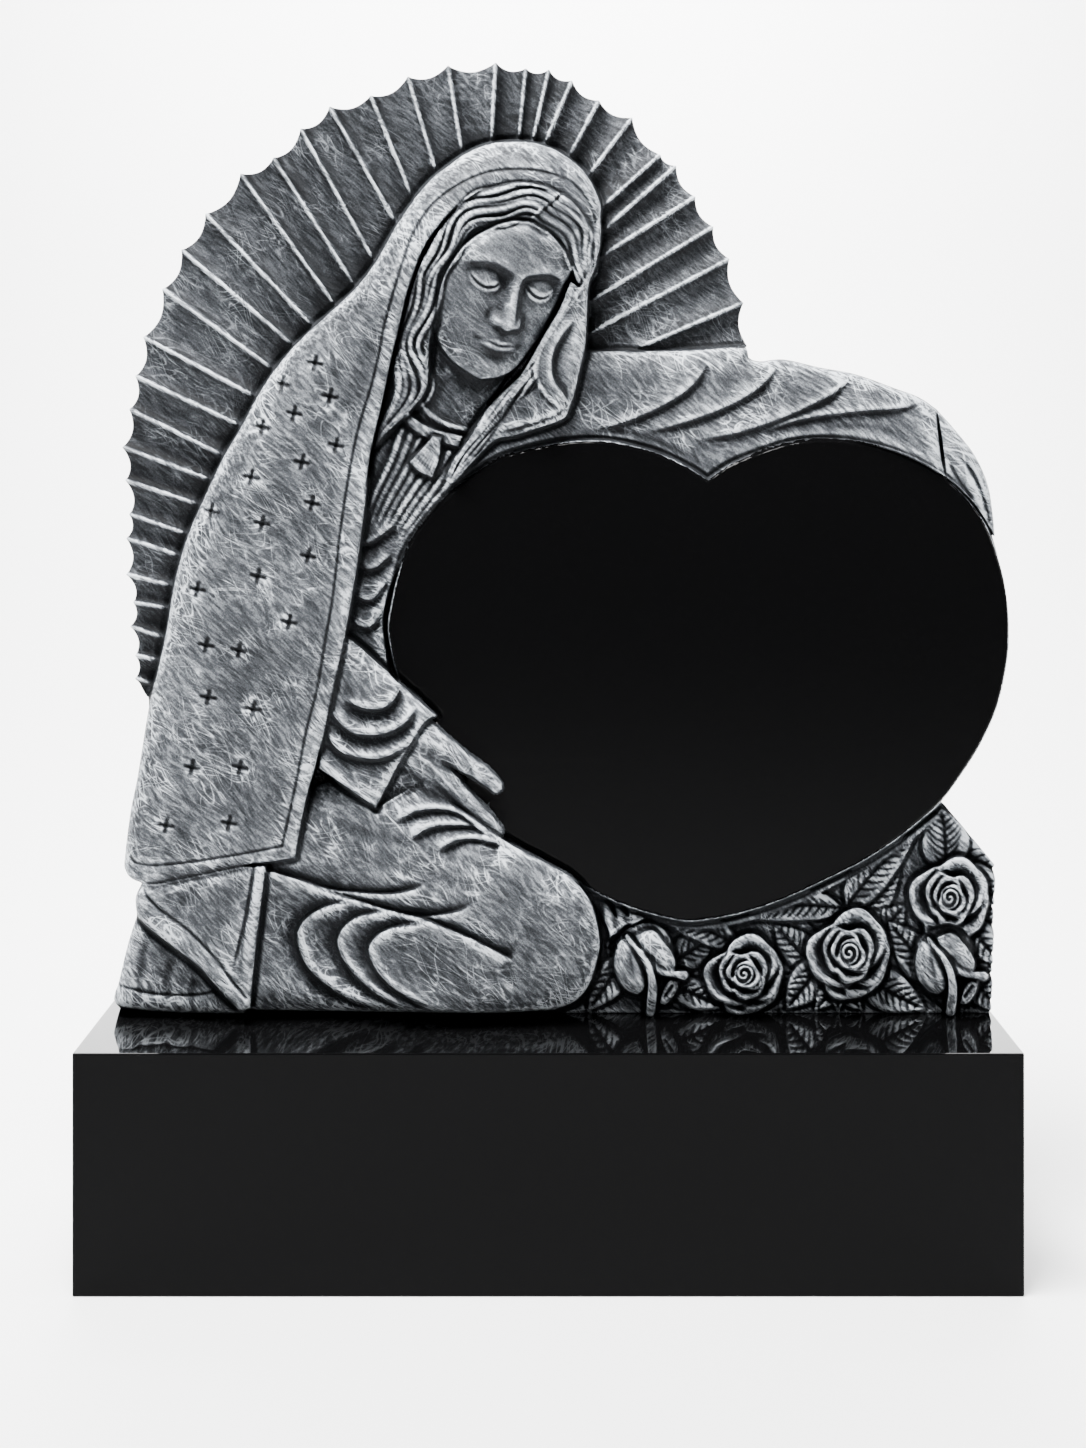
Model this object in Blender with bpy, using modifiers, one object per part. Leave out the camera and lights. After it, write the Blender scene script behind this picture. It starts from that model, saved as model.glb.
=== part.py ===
# A headstone in two pieces of black granite: a polished base block and, standing on it, a tablet
# carved in relief. The tablet shows a kneeling veiled woman who embraces a large polished heart,
# with a fluted fan of rays behind her and a strip of roses and leaves below the heart.
# Units are metres, +Z is up and the carved side faces -Y. The origin is the middle of the base's
# underside, on the ground.

import math

import bmesh
import bpy
import numpy as np

# Base block
BASE_LENGTH = 0.900
BASE_DEPTH = 0.300
BASE_HEIGHT = 0.230
BASE_ARRIS = 0.0015

# Tablet
TABLET_HEIGHT = 0.962
SLAB_THICKNESS = 0.080  # from the ground of the rays to the flat back
RELIEF_DEPTH = 0.087  # from the ground of the rays to the highest point of the carving
BACK_MARGIN = 0.085  # bare strip of the base behind the tablet
TABLET_OFFSET = -0.005  # from the base's middle to the line that the relief draws in to
BED_GAP = 0.0003
CARVED_FACES = 7400

# The tablet is drawn on a pattern sheet in pattern millimetres, u to the right and v downwards.
# Its carving keeps its proportions as shares of the tablet's height and the relief's depth.
SHEET = (100.0, 1030.0, 50.0, 1030.0)
SHEET_STEP = 2.0
DRAW_POINT = (543.0, 450.0)
DRAW_REACH = 1835.0  # the relief's walls lean in towards the front, as if to a point this far off
DRAWN_AT = 1800.0
FOOT_LINE = 1019.7  # where the tablet's foot crosses the sheet
PATTERN_RELIEF = 87.0
SHEET_MARGIN = 6.0  # kept round the outline until the edge is cut
RAY_CREST = 9.0
EDGE_CREST = 20.0  # mean height of the carving along the outline
SCALLOP = 0.13  # depth of a scallop as a share of its length
CUTTER_OVERRUN = 0.02


class Sheet:
    """A full-size pattern sheet in millimetres: u to the right, v down and a carved height at each point."""

    def __init__(self, left, right, top, bottom, step):
        self.left, self.top, self.step = left, top, step
        self.u = np.arange(left, right + step / 2, step)
        self.v = np.arange(top, bottom + step / 2, step)
        self.height = np.zeros((len(self.v), len(self.u)))

    def window(self, points, margin):
        low = (points.min(axis=0) - margin - (self.left, self.top)) / self.step
        high = (points.max(axis=0) + margin - (self.left, self.top)) / self.step
        cols = slice(max(0, int(low[0])), max(0, min(len(self.u), int(high[0]) + 2)))
        rows = slice(max(0, int(low[1])), max(0, min(len(self.v), int(high[1]) + 2)))
        return rows, cols

    def places(self, where):
        rows, cols = where
        return self.u[cols][None, :], self.v[rows][:, None]

    def inside(self, outline, where):
        """Whether each point of the window is inside a closed outline, by the edges to its left."""
        rows, cols = where
        u, v = self.u[cols], self.v[rows]
        toggles = np.zeros((len(v), len(u) + 1), np.int32)
        for (ua, va), (ub, vb) in zip(outline, np.roll(outline, -1, axis=0)):
            first, last = np.ceil((np.array(sorted((va, vb))) - v[0]) / self.step).astype(int)
            crossed = np.arange(max(first, 0), min(last, len(v)))
            if len(crossed) == 0:
                continue
            at = ua + (v[crossed] - va) * (ub - ua) / (vb - va)
            column = np.clip(np.ceil((at - u[0]) / self.step), 0, len(u)).astype(int)
            np.add.at(toggles, (crossed, column), 1)
        return np.cumsum(toggles, axis=1)[:, :-1] % 2 == 1

    def nearest(self, curve, reach):
        """(window, distance, share of the curve's length, side) of the nearest point of an open curve."""
        where = self.window(curve, reach)
        u, v = self.places(where)
        shape = (v.shape[0], u.shape[1])
        distance = np.full(shape, float(reach))
        along = np.zeros(shape)
        side = np.ones(shape)
        lengths = np.hypot(*np.diff(curve, axis=0).T)
        total = max(lengths.sum(), 1e-9)
        travelled = 0.0
        for start, end, length in zip(curve, curve[1:], lengths):
            if length < 1e-9:
                continue
            rows, cols = self.window(np.array([start, end]), reach)
            if rows.stop <= rows.start or cols.stop <= cols.start:
                travelled += length
                continue
            local = (
                slice(rows.start - where[0].start, rows.stop - where[0].start),
                slice(cols.start - where[1].start, cols.stop - where[1].start),
            )
            du = self.u[cols][None, :] - start[0]
            dv = self.v[rows][:, None] - start[1]
            eu, ev = (end - start) / length
            run = np.clip(du * eu + dv * ev, 0, length)
            off = np.hypot(du - run * eu, dv - run * ev)
            closer = off < distance[local]
            distance[local][closer] = off[closer]
            along[local][closer] = ((travelled + run) / total)[closer]
            side[local][closer] = np.where(eu * dv - ev * du >= 0, 1.0, -1.0)[closer]
            travelled += length
        return where, distance, along, side

    def inset(self, outline, reach):
        """(window, distance in from a closed outline), negative outside and limited to the reach."""
        closed = np.vstack([outline, outline[:1]])
        where, distance, _, _ = self.nearest(closed, reach)
        return where, np.where(self.inside(outline, where), distance, -distance)


def smooth_curve(points, spacing=4.0):
    """Points along a smooth curve through a few chosen ones."""
    p = np.array(points, float)
    if len(p) < 3:
        count = max(2, math.ceil(np.hypot(*(p[-1] - p[0])) / spacing))
        return p[0] + (p[-1] - p[0]) * np.linspace(0, 1, count + 1)[:, None]
    held = np.vstack([2 * p[0] - p[1], p, 2 * p[-1] - p[-2]])
    made = []
    for a, b, c, d in zip(held, held[1:], held[2:], held[3:]):
        count = max(2, math.ceil(np.hypot(*(c - b)) / spacing))
        t = (np.arange(count) / count)[:, None]
        made.append(
            b + 0.5 * t * (c - a + t * (2 * a - 5 * b + 4 * c - d + t * (3 * (b - c) + d - a)))
        )
    return np.vstack([*made, p[-1:]])


def outline_of(*stretches):
    """A closed outline of smooth stretches, with a corner where one ends and the next starts."""
    return np.vstack([smooth_curve(stretch) for stretch in stretches])


def ease(x):
    x = np.clip(x, 0.0, 1.0)
    return x * x * (3 - 2 * x)


def roundness(x):
    """A quarter round: 0 at the edge, 1 from x = 1 on."""
    return np.sqrt(1 - (1 - np.clip(x, 0.0, 1.0)) ** 2)


def spot_heights(u, v, spots, blur=26.0):
    """A smooth ground through a few heights, each given as (u, v, height)."""
    total = 0.0
    weighed = 0.0
    for su, sv, height in spots:
        weight = ((u - su) ** 2 + (v - sv) ** 2 + blur**2) ** -2.0
        total = total + weight
        weighed = weighed + weight * height
    return weighed / total


def taper(along, start, end):
    """A stroke's strength along its length, growing over the share start and fading over the share end."""
    grow = ease(along / start) if start > 0 else 1.0
    fade = ease((1 - along) / end) if end > 0 else 1.0
    return grow * fade


def cut_groove(sheet, points, width, depth, start=0.1, end=0.1, spacing=3.0):
    curve = smooth_curve(points, spacing)
    where, distance, along, _ = sheet.nearest(curve, width * 1.6)
    strength = taper(along, start, end) * np.exp(-((distance / (0.5 * width)) ** 2))
    sheet.height[where] -= depth * strength * (distance < width * 1.59)


def raise_ridge(sheet, points, width, height, start=0.1, end=0.1, crisp=1.0, spacing=3.0):
    """A raised strand of round section. Crisp under 1 gives it a sharper crest."""
    curve = smooth_curve(points, spacing)
    where, distance, along, _ = sheet.nearest(curve, width * 0.75)
    strength = taper(along, start, end)
    half = 0.5 * width * (0.35 + 0.65 * strength)
    section = np.clip(1 - (distance / half) ** 2, 0, 1) ** crisp
    sheet.height[where] += height * strength * section


def lap_fold(sheet, points, lift, drop, high=14.0, low=9.0, start=0.25, end=0.25, spacing=3.0,
    round_over=1.6):
    """A fold of cloth with its crest on the curve, swelling to the curve's right and falling to its left."""
    curve = smooth_curve(points, spacing)
    where, distance, along, side = sheet.nearest(curve, 3 * max(high, low))
    strength = taper(along, start, end)
    signed = distance * side
    swell = np.exp(-((np.clip(signed, 0, None) / high) ** 1.4))
    hollow = np.exp(-((np.clip(-signed - round_over, 0, None) / low) ** 1.3))
    blend = ease((signed + round_over) / (2 * round_over))
    fade = ease((3 - distance / max(high, low)) / 0.6)
    sheet.height[where] += strength * (lift * swell * blend - drop * hollow * (1 - blend)) * fade


def between(first, second, count, spacing=6.0):
    """Curves that pass smoothly from one guide curve to another, the first and last among them."""
    a, b = smooth_curve(first, spacing), smooth_curve(second, spacing)
    n = max(len(a), len(b))
    t = np.linspace(0, 1, n)
    a, b = (
        np.column_stack([np.interp(t, np.linspace(0, 1, len(c)), c[:, k]) for k in (0, 1)])
        for c in (a, b)
    )
    return [a + (b - a) * s for s in np.linspace(0, 1, count)]


def swell_limb(sheet, axis, blend=3.0):
    """A tapered round limb through (u, v, height of its axis, radius) stations, blended into what is there."""
    stations = np.array(axis, float)
    plan = smooth_curve(stations[:, :2], 3.0)
    where, distance, along, _ = sheet.nearest(plan, stations[:, 3].max() + 8)
    runs = np.concatenate([[0], np.cumsum(np.hypot(*np.diff(stations[:, :2], axis=0).T))])
    level = np.interp(along, runs / runs[-1], stations[:, 2])
    radius = np.interp(along, runs / runs[-1], stations[:, 3])
    fall = np.where(distance > radius, 3.0 * (distance - radius), 0)
    body = level + np.sqrt(np.clip(radius**2 - distance**2, 0, None)) - fall
    there = sheet.height[where]
    gap = np.clip(blend - np.abs(body - there), 0, None) / blend
    joined = np.maximum(body, there) + gap**2 * blend * 0.25
    sheet.height[where] = np.where(distance < radius + 7.5, joined, there)


def form(sheet, stretches, spots, edge=3.0, shadow=0.0, blur=26.0, spacing=4.0):
    """Lays a form over what is there. Each stretch of its outline is (points, shoulder, sink)."""
    curves = [smooth_curve(points, spacing) for points, _, _ in stretches]
    outline = np.vstack(curves)
    where, inset = sheet.inset(outline, 9.0)
    u, v = sheet.places(where)
    top = spot_heights(u, v, spots, blur)
    drop = np.zeros_like(top)
    for curve, (_, shoulder, sink) in zip(curves, stretches):
        if sink == 0:
            continue
        near, distance, _, _ = sheet.nearest(curve, shoulder)
        r = slice(max(near[0].start, where[0].start), min(near[0].stop, where[0].stop))
        c = slice(max(near[1].start, where[1].start), min(near[1].stop, where[1].stop))
        if r.stop <= r.start or c.stop <= c.start:
            continue
        small = distance[r.start - near[0].start:r.stop - near[0].start,
            c.start - near[1].start:c.stop - near[1].start]
        mine = (slice(r.start - where[0].start, r.stop - where[0].start),
            slice(c.start - where[1].start, c.stop - where[1].start))
        d = sink * (1 - roundness(small / shoulder))
        drop[mine] = np.hypot(drop[mine], d)
    top = top - drop
    below = sheet.height[where]
    if shadow:
        below = below - shadow * np.exp(-(((inset + 2.5) / 3.0) ** 2)) * (inset < 0.5)
    cover = ease((inset + 0.5 * edge) / edge)
    sheet.height[where] = below + (top - below) * cover


RAYS = [
    ((135, 679), (155, 686)), ((136, 655), (160, 660)), ((131, 626), (166, 638)),
    ((134, 602), (170, 608)), ((127, 574), (176, 586)), ((127, 538), (182, 556)),
    ((130, 514), (192, 535)), ((126, 480), (205, 506)), ((123, 447), (213, 480)),
    ((130, 409), (223, 455)),
    ((136, 376), (238, 424)), ((144, 337), (255, 396)), ((163, 289), (275, 370)),
    ((182, 250), (295, 346)), ((206, 214), (314, 327)), ((241, 174), (337, 307)),
    ((274, 158), (356, 287)), ((301, 129), (374, 260)), ((330, 107), (396, 222)),
    ((371, 96), (412, 196)), ((408, 77), (436, 170)), ((448, 66), (462, 150)),
    ((496, 63), (492, 139)), ((526, 69), (519, 139)), ((549, 70), (533, 140)), ((572, 81), (544, 146)),
    ((599, 101), (570, 155)), ((632, 118), (589, 175)), ((660, 155), (603, 206)),
    ((676, 166), (606, 228)), ((695, 197), (603, 255)), ((713, 227), (592, 300)),
    ((729, 259), (603, 326)),
    ((743, 303), (657, 340)), ((747, 346), (657, 356)),
]


def rays(sheet):
    """A fan of shallow flutes with a bead along each crest."""
    u, v = sheet.u[None, :], sheet.v[:, None]
    ends = [(np.array(a, float), np.array(b, float)) for a, b in RAYS]
    sides, runs = [], []
    for a, b in ends:
        e = (b - a) / np.hypot(*(b - a))
        sides.append(e[0] * (v - a[1]) - e[1] * (u - a[0]))
        runs.append(e[0] * (u - a[0]) + e[1] * (v - a[1]))
    for left, right, run in zip(sides, sides[1:], runs):
        within = (left <= 0) & (right > 0) & (run > -60) & (run < 190)
        gap = np.clip(right - left, 1e-6, 60)
        share = np.clip(-left / gap, 0, 1)
        flute = 11 - np.minimum(0.3 * gap, 8.5) * np.sin(np.pi * share ** 0.75) ** 0.9
        sheet.height[within] = flute[within]
    for a, b in ends:
        raise_ridge(sheet, [a + (a - b) * 0.06, b + (b - a) * 0.2], 6.0, 2.6, 0, 0.1, crisp=0.8)


MANTLE_OUT = [(601, 222), (600, 200), (585, 172), (562, 153), (541, 144), (518, 141), (492, 143),
    (469, 151), (447, 166),
              (425, 185), (398, 222), (375, 262), (352, 291), (312, 328), (284, 357), (261, 389),
              (241, 426),
              (223, 457), (202, 501), (186, 539), (174, 582), (166, 630), (158, 667), (148, 708),
              (137, 775),
              (129, 815), (123, 866)]
MANTLE_HEM = [(123, 866), (130, 878), (150, 884), (180, 879), (234, 868), (295, 858)]
MANTLE_FRONT = [(295, 858), (306, 801), (322, 743), (336, 678), (346, 630), (357, 568), (365, 507),
    (370, 457),
                (381, 410), (391, 362), (399, 329), (406, 299), (414, 274), (425, 247), (441, 224),
                (456, 208),
                (474, 192), (496, 186), (523, 183), (550, 188), (570, 199), (583, 215), (591, 230),
                (594, 246), (594, 262)]
MANTLE_RIM = [(594, 262), (600, 248), (601, 222)]
BAND = [(597, 224), (588, 201), (576, 186), (563, 177), (541, 171), (518, 169), (492, 171),
    (469, 179), (447, 192), (429, 208),
        (413, 233), (405, 255), (395, 287), (384, 326), (380, 349), (372, 383), (358, 430),
        (348, 480), (340, 534),
        (333, 595), (325, 641), (317, 689), (306, 732), (296, 783), (282, 846)]
HEM_BAND = [(282, 846), (234, 855), (180, 863), (140, 864), (125, 852)]


def mantle(sheet):
    form(sheet, [(MANTLE_OUT, 42, 30), (MANTLE_HEM, 12, 8), (MANTLE_FRONT, 7, 5), (MANTLE_RIM, 5, 4)],
         [(518, 162, 68), (450, 192, 70), (585, 190, 62), (405, 262, 66), (330, 350, 62),
             (270, 420, 60), (320, 500, 64),
          (230, 560, 58), (300, 620, 67), (220, 680, 56), (200, 770, 52), (290, 760, 64),
          (150, 850, 48), (250, 850, 60)],
         edge=3, shadow=3, blur=40)
    # broad hollows and swells of the hanging cloth
    for points, width, depth in (
        ([(430, 205), (392, 270), (360, 330), (345, 420)], 26, -2.0),
        ([(250, 640), (236, 700), (232, 770), (240, 850)], 40, 3.0),
        ([(205, 540), (196, 620), (180, 700), (170, 770)], 34, 2.5),
        ([(300, 560), (285, 640), (290, 720), (278, 800)], 40, -2.0),
        ([(345, 320), (300, 400), (262, 470), (240, 540)], 50, -2.5),
        ([(180, 700), (168, 780), (160, 870)], 22, -2.0),
    ):
        cut_groove(sheet, points, width, depth, 0.3, 0.2, spacing=8)
    band(sheet)
    for place in CROSSES:
        cross(sheet, *place)


CROSSES = [(315, 363), (282, 384), (330, 396), (294, 413), (262, 427), (336, 445), (302, 462),
    (251, 477), (312, 503),
           (262, 523), (211, 511), (308, 556), (258, 576), (197, 589), (289, 622), (206, 645),
           (239, 650), (208, 697),
           (253, 709), (192, 767), (240, 767), (166, 825), (229, 823)]


def cross(sheet, u, v):
    tilt = 0.21
    c, s = math.cos(tilt), math.sin(tilt)
    for arm in ((9.5 * c, 9.5 * s), (9.5 * s, -9.5 * c)):
        cut_groove(sheet, [(u - arm[0], v - arm[1]), (u + arm[0], v + arm[1])], 3.0, 2.6, 0.3, 0.3,
            spacing=2)


def band(sheet):
    cut_groove(sheet, BAND, 3.0, 2.2, 0, 0)
    cut_groove(sheet, HEM_BAND, 3.0, 2.2, 0, 0)


SHAWL_TOP = [(584, 350), (625, 351), (690, 350), (746, 347), (749, 357), (760, 361), (784, 359),
    (820, 367), (856, 374),
             (895, 388), (919, 397), (937, 409)]
FAR_HAND_EDGE = [(937, 409), (958, 432), (976, 456), (988, 483), (993, 510), (996, 540)]
HEART_FREE_SIDE = [(999, 556), (1006, 590), (1010, 629), (1008, 662), (998, 707), (981, 745),
    (960, 778), (942, 802)]


def shawl(sheet):
    """The cloth over the far arm, drawn along the top of the heart."""
    top = SHAWL_TOP
    cuff = [(937, 409), (940, 441), (943, 462), (948, 480)]
    under = [(948, 480), (915, 462), (850, 444), (786, 447), (708, 484), (640, 450), (558, 446),
        (520, 454), (480, 470)]
    left = [(480, 470), (500, 430), (540, 380), (584, 350)]
    form(sheet, [(top, 26, 16), (cuff, 6, 3), (under, 8, 5), (left, 5, 0)],
         [(600, 370, 30), (700, 380, 32), (800, 390, 36), (900, 410, 44), (560, 430, 30),
             (680, 440, 34), (780, 430, 38), (930, 450, 46),
          (510, 440, 38)], edge=3, shadow=2, blur=40)
    lap_fold(sheet, [(712, 357), (694, 384), (664, 405), (622, 423), (590, 430)], 4, 4, 18, 8, 0.25,
        0.3)
    lap_fold(sheet, [(782, 361), (760, 387), (724, 408), (682, 423), (640, 434)], 4, 4, 18, 8, 0.2, 0.3)
    lap_fold(sheet, [(856, 375), (829, 396), (784, 417), (736, 433), (690, 441)], 4.5, 4, 18, 8, 0.2,
        0.3)
    lap_fold(sheet, [(925, 400), (901, 408), (850, 412), (799, 420), (760, 433)], 4, 4, 14, 8, 0.2, 0.3)
    cut_groove(sheet, [(560, 437), (620, 432), (680, 452), (708, 470)], 9, 1.8, 0.3, 0.1)
    cut_groove(sheet, [(812, 427), (880, 428), (930, 455)], 9, 1.8, 0.3, 0.1)


def far_hand(sheet):
    outer = FAR_HAND_EDGE
    inner = [(996, 540), (978, 510), (960, 490), (946, 478)]
    back = [(946, 478), (943, 455), (937, 409)]
    form(sheet, [(outer, 13, 14), (inner, 4, 0), (back, 4, 0)],
         [(950, 440, 38), (970, 470, 42), (985, 510, 42)], edge=2.5, shadow=2)
    cut_groove(sheet, [(958, 455), (970, 468), (982, 492), (990, 520)], 4.5, 6, 0.3, 0)
    cut_groove(sheet, [(948, 458), (958, 478), (974, 500)], 4.0, 4, 0.3, 0.1)


def torso(sheet):
    """Dress between the mantle's front and the heart."""
    form(sheet, [([(404, 300), (470, 380), (500, 430), (480, 470), (421, 530), (385, 610), (392, 700),
        (370, 720)], 8, 0),
                 ([(370, 720), (330, 700), (345, 600), (365, 490), (385, 400), (404, 300)], 8, 0)],
         [(450, 360, 22), (430, 420, 34), (400, 470, 38), (420, 500, 40), (375, 560, 36),
             (370, 620, 34), (365, 680, 30), (480, 450, 36)],
         edge=3, blur=30)


def dress_folds(sheet):
    """Pleats from the collar and the folds that sag above the sleeve."""
    fans = between([(403, 424), (392, 458), (372, 500), (360, 535)],
        [(472, 458), (452, 480), (426, 512), (398, 548)], 8)
    for k, curve in enumerate(fans):
        raise_ridge(sheet, curve[::2], 8.5, 4.6 if k % 2 == 0 else 3.2, 0.05, 0.4)
    for points in ([(352, 556), (362, 567), (375, 568), (392, 554)],
        [(347, 586), (360, 598), (374, 598), (388, 580)],
                   [(350, 620), (362, 627), (374, 624), (388, 602)],
                   [(350, 536), (368, 543), (396, 524)]):
        lap_fold(sheet, points[::-1], 4.5, 5.5, 10, 7, 0.15, 0.15, round_over=2.2)


def neck(sheet):
    form(sheet, [([(428, 330), (424, 370), (412, 412)], 14, 12),
        ([(412, 412), (432, 432), (462, 440)], 3, 0),
                 ([(462, 440), (484, 410), (505, 380), (530, 340), (490, 300), (428, 330)], 14, 10)],
         [(450, 380, 33), (470, 400, 35), (440, 350, 30), (500, 350, 34)], edge=3, blur=30)
    # collar ring and the flat band below it
    raise_ridge(sheet, [(418, 396), (426, 410), (446, 424), (470, 430)], 7, 4.5, 0.05, 0.05)
    form(sheet, [([(407, 411), (420, 422), (437, 430), (463, 436)], 2.5, 1.5),
        ([(463, 436), (459, 447)], 2, 1),
                 ([(459, 447), (432, 440), (414, 430), (403, 418)], 2.5, 1.5),
                 ([(403, 418), (407, 411)], 2, 1)],
         [(430, 430, 42)], edge=2, shadow=1.5)
    tassel(sheet)


def tassel(sheet):
    """The tassel on the breast."""
    form(sheet, [([(433, 436), (422, 448), (410, 462)], 3, 3),
        ([(410, 462), (418, 471), (432, 477)], 2, 1.5),
                 ([(432, 477), (439, 460), (441, 438)], 3, 3), ([(441, 438), (433, 436)], 2, 2)],
         [(425, 460, 50), (435, 442, 48)], edge=2, shadow=3)
    for curve in between([(434, 441), (424, 451), (414, 463)], [(439, 442), (437, 458), (431, 474)], 7):
        cut_groove(sheet, curve, 1.7, 1.6, 0.2, 0.1, spacing=2)


HEART = [
    [(707.5, 479), (687, 466), (662, 454), (637, 446), (612, 441), (587, 440), (558, 442), (521, 450),
        (492, 461), (455, 488), (421, 525),
     (401, 562), (389, 612), (388, 637), (397, 678), (418, 740), (455, 792), (504, 838), (546, 863),
     (579, 884), (612, 901), (645, 913),
     (678, 921), (696, 922)],
    [(696, 922), (737, 915), (778, 902), (819, 884), (861, 863), (894, 842), (923, 819), (942, 802),
        (960, 778), (981, 745), (998, 707),
     (1008, 662), (1010, 629), (1008, 596), (1002, 567), (989, 529), (973, 504), (948, 479),
     (919, 461), (886, 448), (848, 440),
     (815, 439), (786, 443), (753, 454), (728, 465), (707.5, 479)],
]


def heart(sheet):
    """The flat polished heart, standing a little proud of the cloth around it, with a small bevel."""
    outline = outline_of(*HEART)
    where, inset = sheet.inset(outline, 10)
    rim = 40 - 3.0 * (1 - np.clip(inset / 3.0, 0, 1))
    here = sheet.height[where]
    trough = 3.5 * np.exp(-(((inset + 2.6) / 2.0) ** 2)) * ease((here - 14) / 10)
    cover = ease((inset + 0.8) / 1.6)
    sheet.height[where] = (here - trough) * (1 - cover) + rim * cover


def sleeve(sheet):
    """Forearm sleeve of the near arm with its open cuff."""
    # rear of the cuff
    form(sheet, [([(395, 770), (403, 766), (418, 783)], 3, 2), ([(418, 783), (376, 808)], 3, 2),
        ([(376, 808), (380, 780), (395, 770)], 3, 1)],
         [(400, 785, 46)], edge=2.5, shadow=3)
    top = [(336, 634), (350, 638), (376, 661), (399, 682), (418, 699), (436, 716)]
    cuff = [(436, 716), (424, 722), (410, 744), (392, 776), (376, 808)]
    lower = [(376, 808), (350, 790), (318, 768)]
    back = [(318, 768), (325, 700), (336, 634)]
    form(sheet, [(top, 20, 17), (cuff, 3.5, 3), (lower, 4, 3), (back, 4, 0)],
         [(350, 660, 58), (380, 690, 64), (415, 715, 66), (345, 720, 58), (385, 745, 62),
             (345, 770, 54), (375, 795, 58)],
         edge=3, shadow=4, blur=30)
    # sagging folds hung from the forearm
    lap_fold(sheet, [(398, 684), (396, 697), (383, 708), (362, 708), (342, 698)], 6.0, 9.0, 11, 9,
        0.2, 0.25, round_over=2.6)
    lap_fold(sheet, [(417, 704), (408, 720), (389, 732), (364, 735), (345, 728), (328, 710)], 6.0,
        9.0, 11, 10, 0.2, 0.12, round_over=2.6)
    lap_fold(sheet, [(418, 736), (406, 746), (382, 758), (356, 757), (338, 750), (325, 734)], 6.0,
        8.0, 11, 10, 0.25, 0.1, round_over=2.6)
    raise_ridge(sheet, [(434, 718), (424, 724), (411, 745), (393, 777), (378, 806)], 5.5, 2.2, 0.05,
        0.05)
    raise_ridge(sheet, [(376, 805), (350, 788), (322, 767)], 5.0, 1.8, 0.05, 0.2)


def hand(sheet):
    """The hand laid on the heart, its first finger raised a little from the second."""
    swell_limb(sheet, [(398, 764, 34, 16), (420, 778, 34, 14), (438, 792, 36, 10), (452, 806, 36, 7),
        (462, 816, 34, 4.5)], 5)
    swell_limb(sheet, [(396, 742, 36, 22), (420, 760, 37, 19), (440, 774, 39, 13.5),
        (456, 789, 42, 9.2), (470, 803, 43, 8.0),
                       (486, 819, 43, 7.4), (498, 832, 40, 6.2)], 6)
    swell_limb(sheet, [(400, 722, 38, 22), (424, 738, 40, 18.5), (444, 750, 42, 13.5),
        (462, 761, 43, 10.2), (478, 771, 43, 8.8),
                       (490, 780, 42, 7.8), (496, 786, 41, 7.0)], 6)
    # the web between the fingers, the tendons, knuckles and a nail
    cut_groove(sheet, [(446, 764), (455, 770), (464, 779)], 3.6, 5.0, 0.5, 0)
    raise_ridge(sheet, [(418, 738), (436, 746), (454, 756)], 7, 1.5, 0.4, 0.4)
    raise_ridge(sheet, [(414, 752), (434, 768), (450, 782)], 7, 1.5, 0.4, 0.4)
    for u, v in ((472, 766), (466, 799)):
        cut_groove(sheet, [(u - 4, v + 5), (u + 1, v + 1), (u + 3, v - 5)], 2.2, 0.8, 0.3, 0.3,
            spacing=2)
    nail = [(488, 781), (491, 786), (496, 788), (499, 785), (497, 780), (492, 778), (488, 781)]
    cut_groove(sheet, nail, 1.7, 1.3, 0, 0, spacing=1.5)


def skirt(sheet):
    """The kneeling leg under the skirt, with deep folds behind the knee and round the shin."""
    upper = [(300, 790), (380, 770), (450, 800), (503, 838), (548, 863), (574, 879), (592, 904),
        (600, 939), (597, 962),
             (590, 984), (576, 1001), (556, 1010)]
    foot = [(556, 1010), (500, 1013), (432, 1013), (300, 1011), (240, 1010)]
    back = [(240, 1010), (240, 900), (300, 790)]
    form(sheet, [(upper, 46, 30), (foot, 26, 18), (back, 4, 0)],
         [(330, 830, 50), (420, 830, 62), (500, 870, 73), (560, 930, 73), (480, 940, 77),
             (400, 900, 68), (320, 880, 55), (290, 930, 44),
          (300, 980, 46), (420, 970, 70), (540, 980, 68)], edge=3, shadow=4, blur=36)
    # the hollow under the thigh, and the folds that run from it
    lap_fold(sheet, [(262, 868), (300, 880), (332, 889), (382, 894), (413, 890), (432, 879)], 4.0, 8,
        16, 9, 0.02, 0.22, round_over=2.2)
    lap_fold(sheet, [(296, 884), (330, 893), (365, 903), (415, 915), (456, 912), (480, 899)], 3.0, 8,
        14, 8, 0.3, 0.2, round_over=2.2)
    lap_fold(sheet, [(392, 912), (425, 920), (465, 936), (498, 952), (514, 961)], 3.0, 9, 14, 6, 0.3,
        0.08, round_over=2.2)
    # the folds that sweep round the shin to the foot
    for points in ([(420, 1016), (365, 1005), (330, 988), (306, 965), (297, 939), (303, 921),
        (325, 907), (362, 901)],
                   [(455, 1016), (405, 1009), (365, 985), (343, 960), (338, 936), (358, 917),
                       (402, 911)],
                   [(490, 1016), (435, 1010), (398, 992), (375, 969), (369, 946), (389, 929),
                       (436, 923)]):
        lap_fold(sheet, points, 6, 11, 15, 12, 0.1, 0.2, round_over=3.4)
    for points in ([(482, 829), (452, 811), (418, 811), (390, 825)],
        [(490, 835), (468, 826), (432, 827), (406, 842)],
                   [(504, 845), (478, 839), (458, 840), (434, 852)]):
        lap_fold(sheet, points, 4, 7, 12, 8, 0.12, 0.25, round_over=2.4)
    for points in ([(430, 845), (480, 865), (540, 900)],
        [(330, 860), (400, 868), (470, 885), (520, 915)], [(320, 820), (370, 835), (430, 850)]):
        cut_groove(sheet, points, 12, 1.6, 0.4, 0.4)


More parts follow.
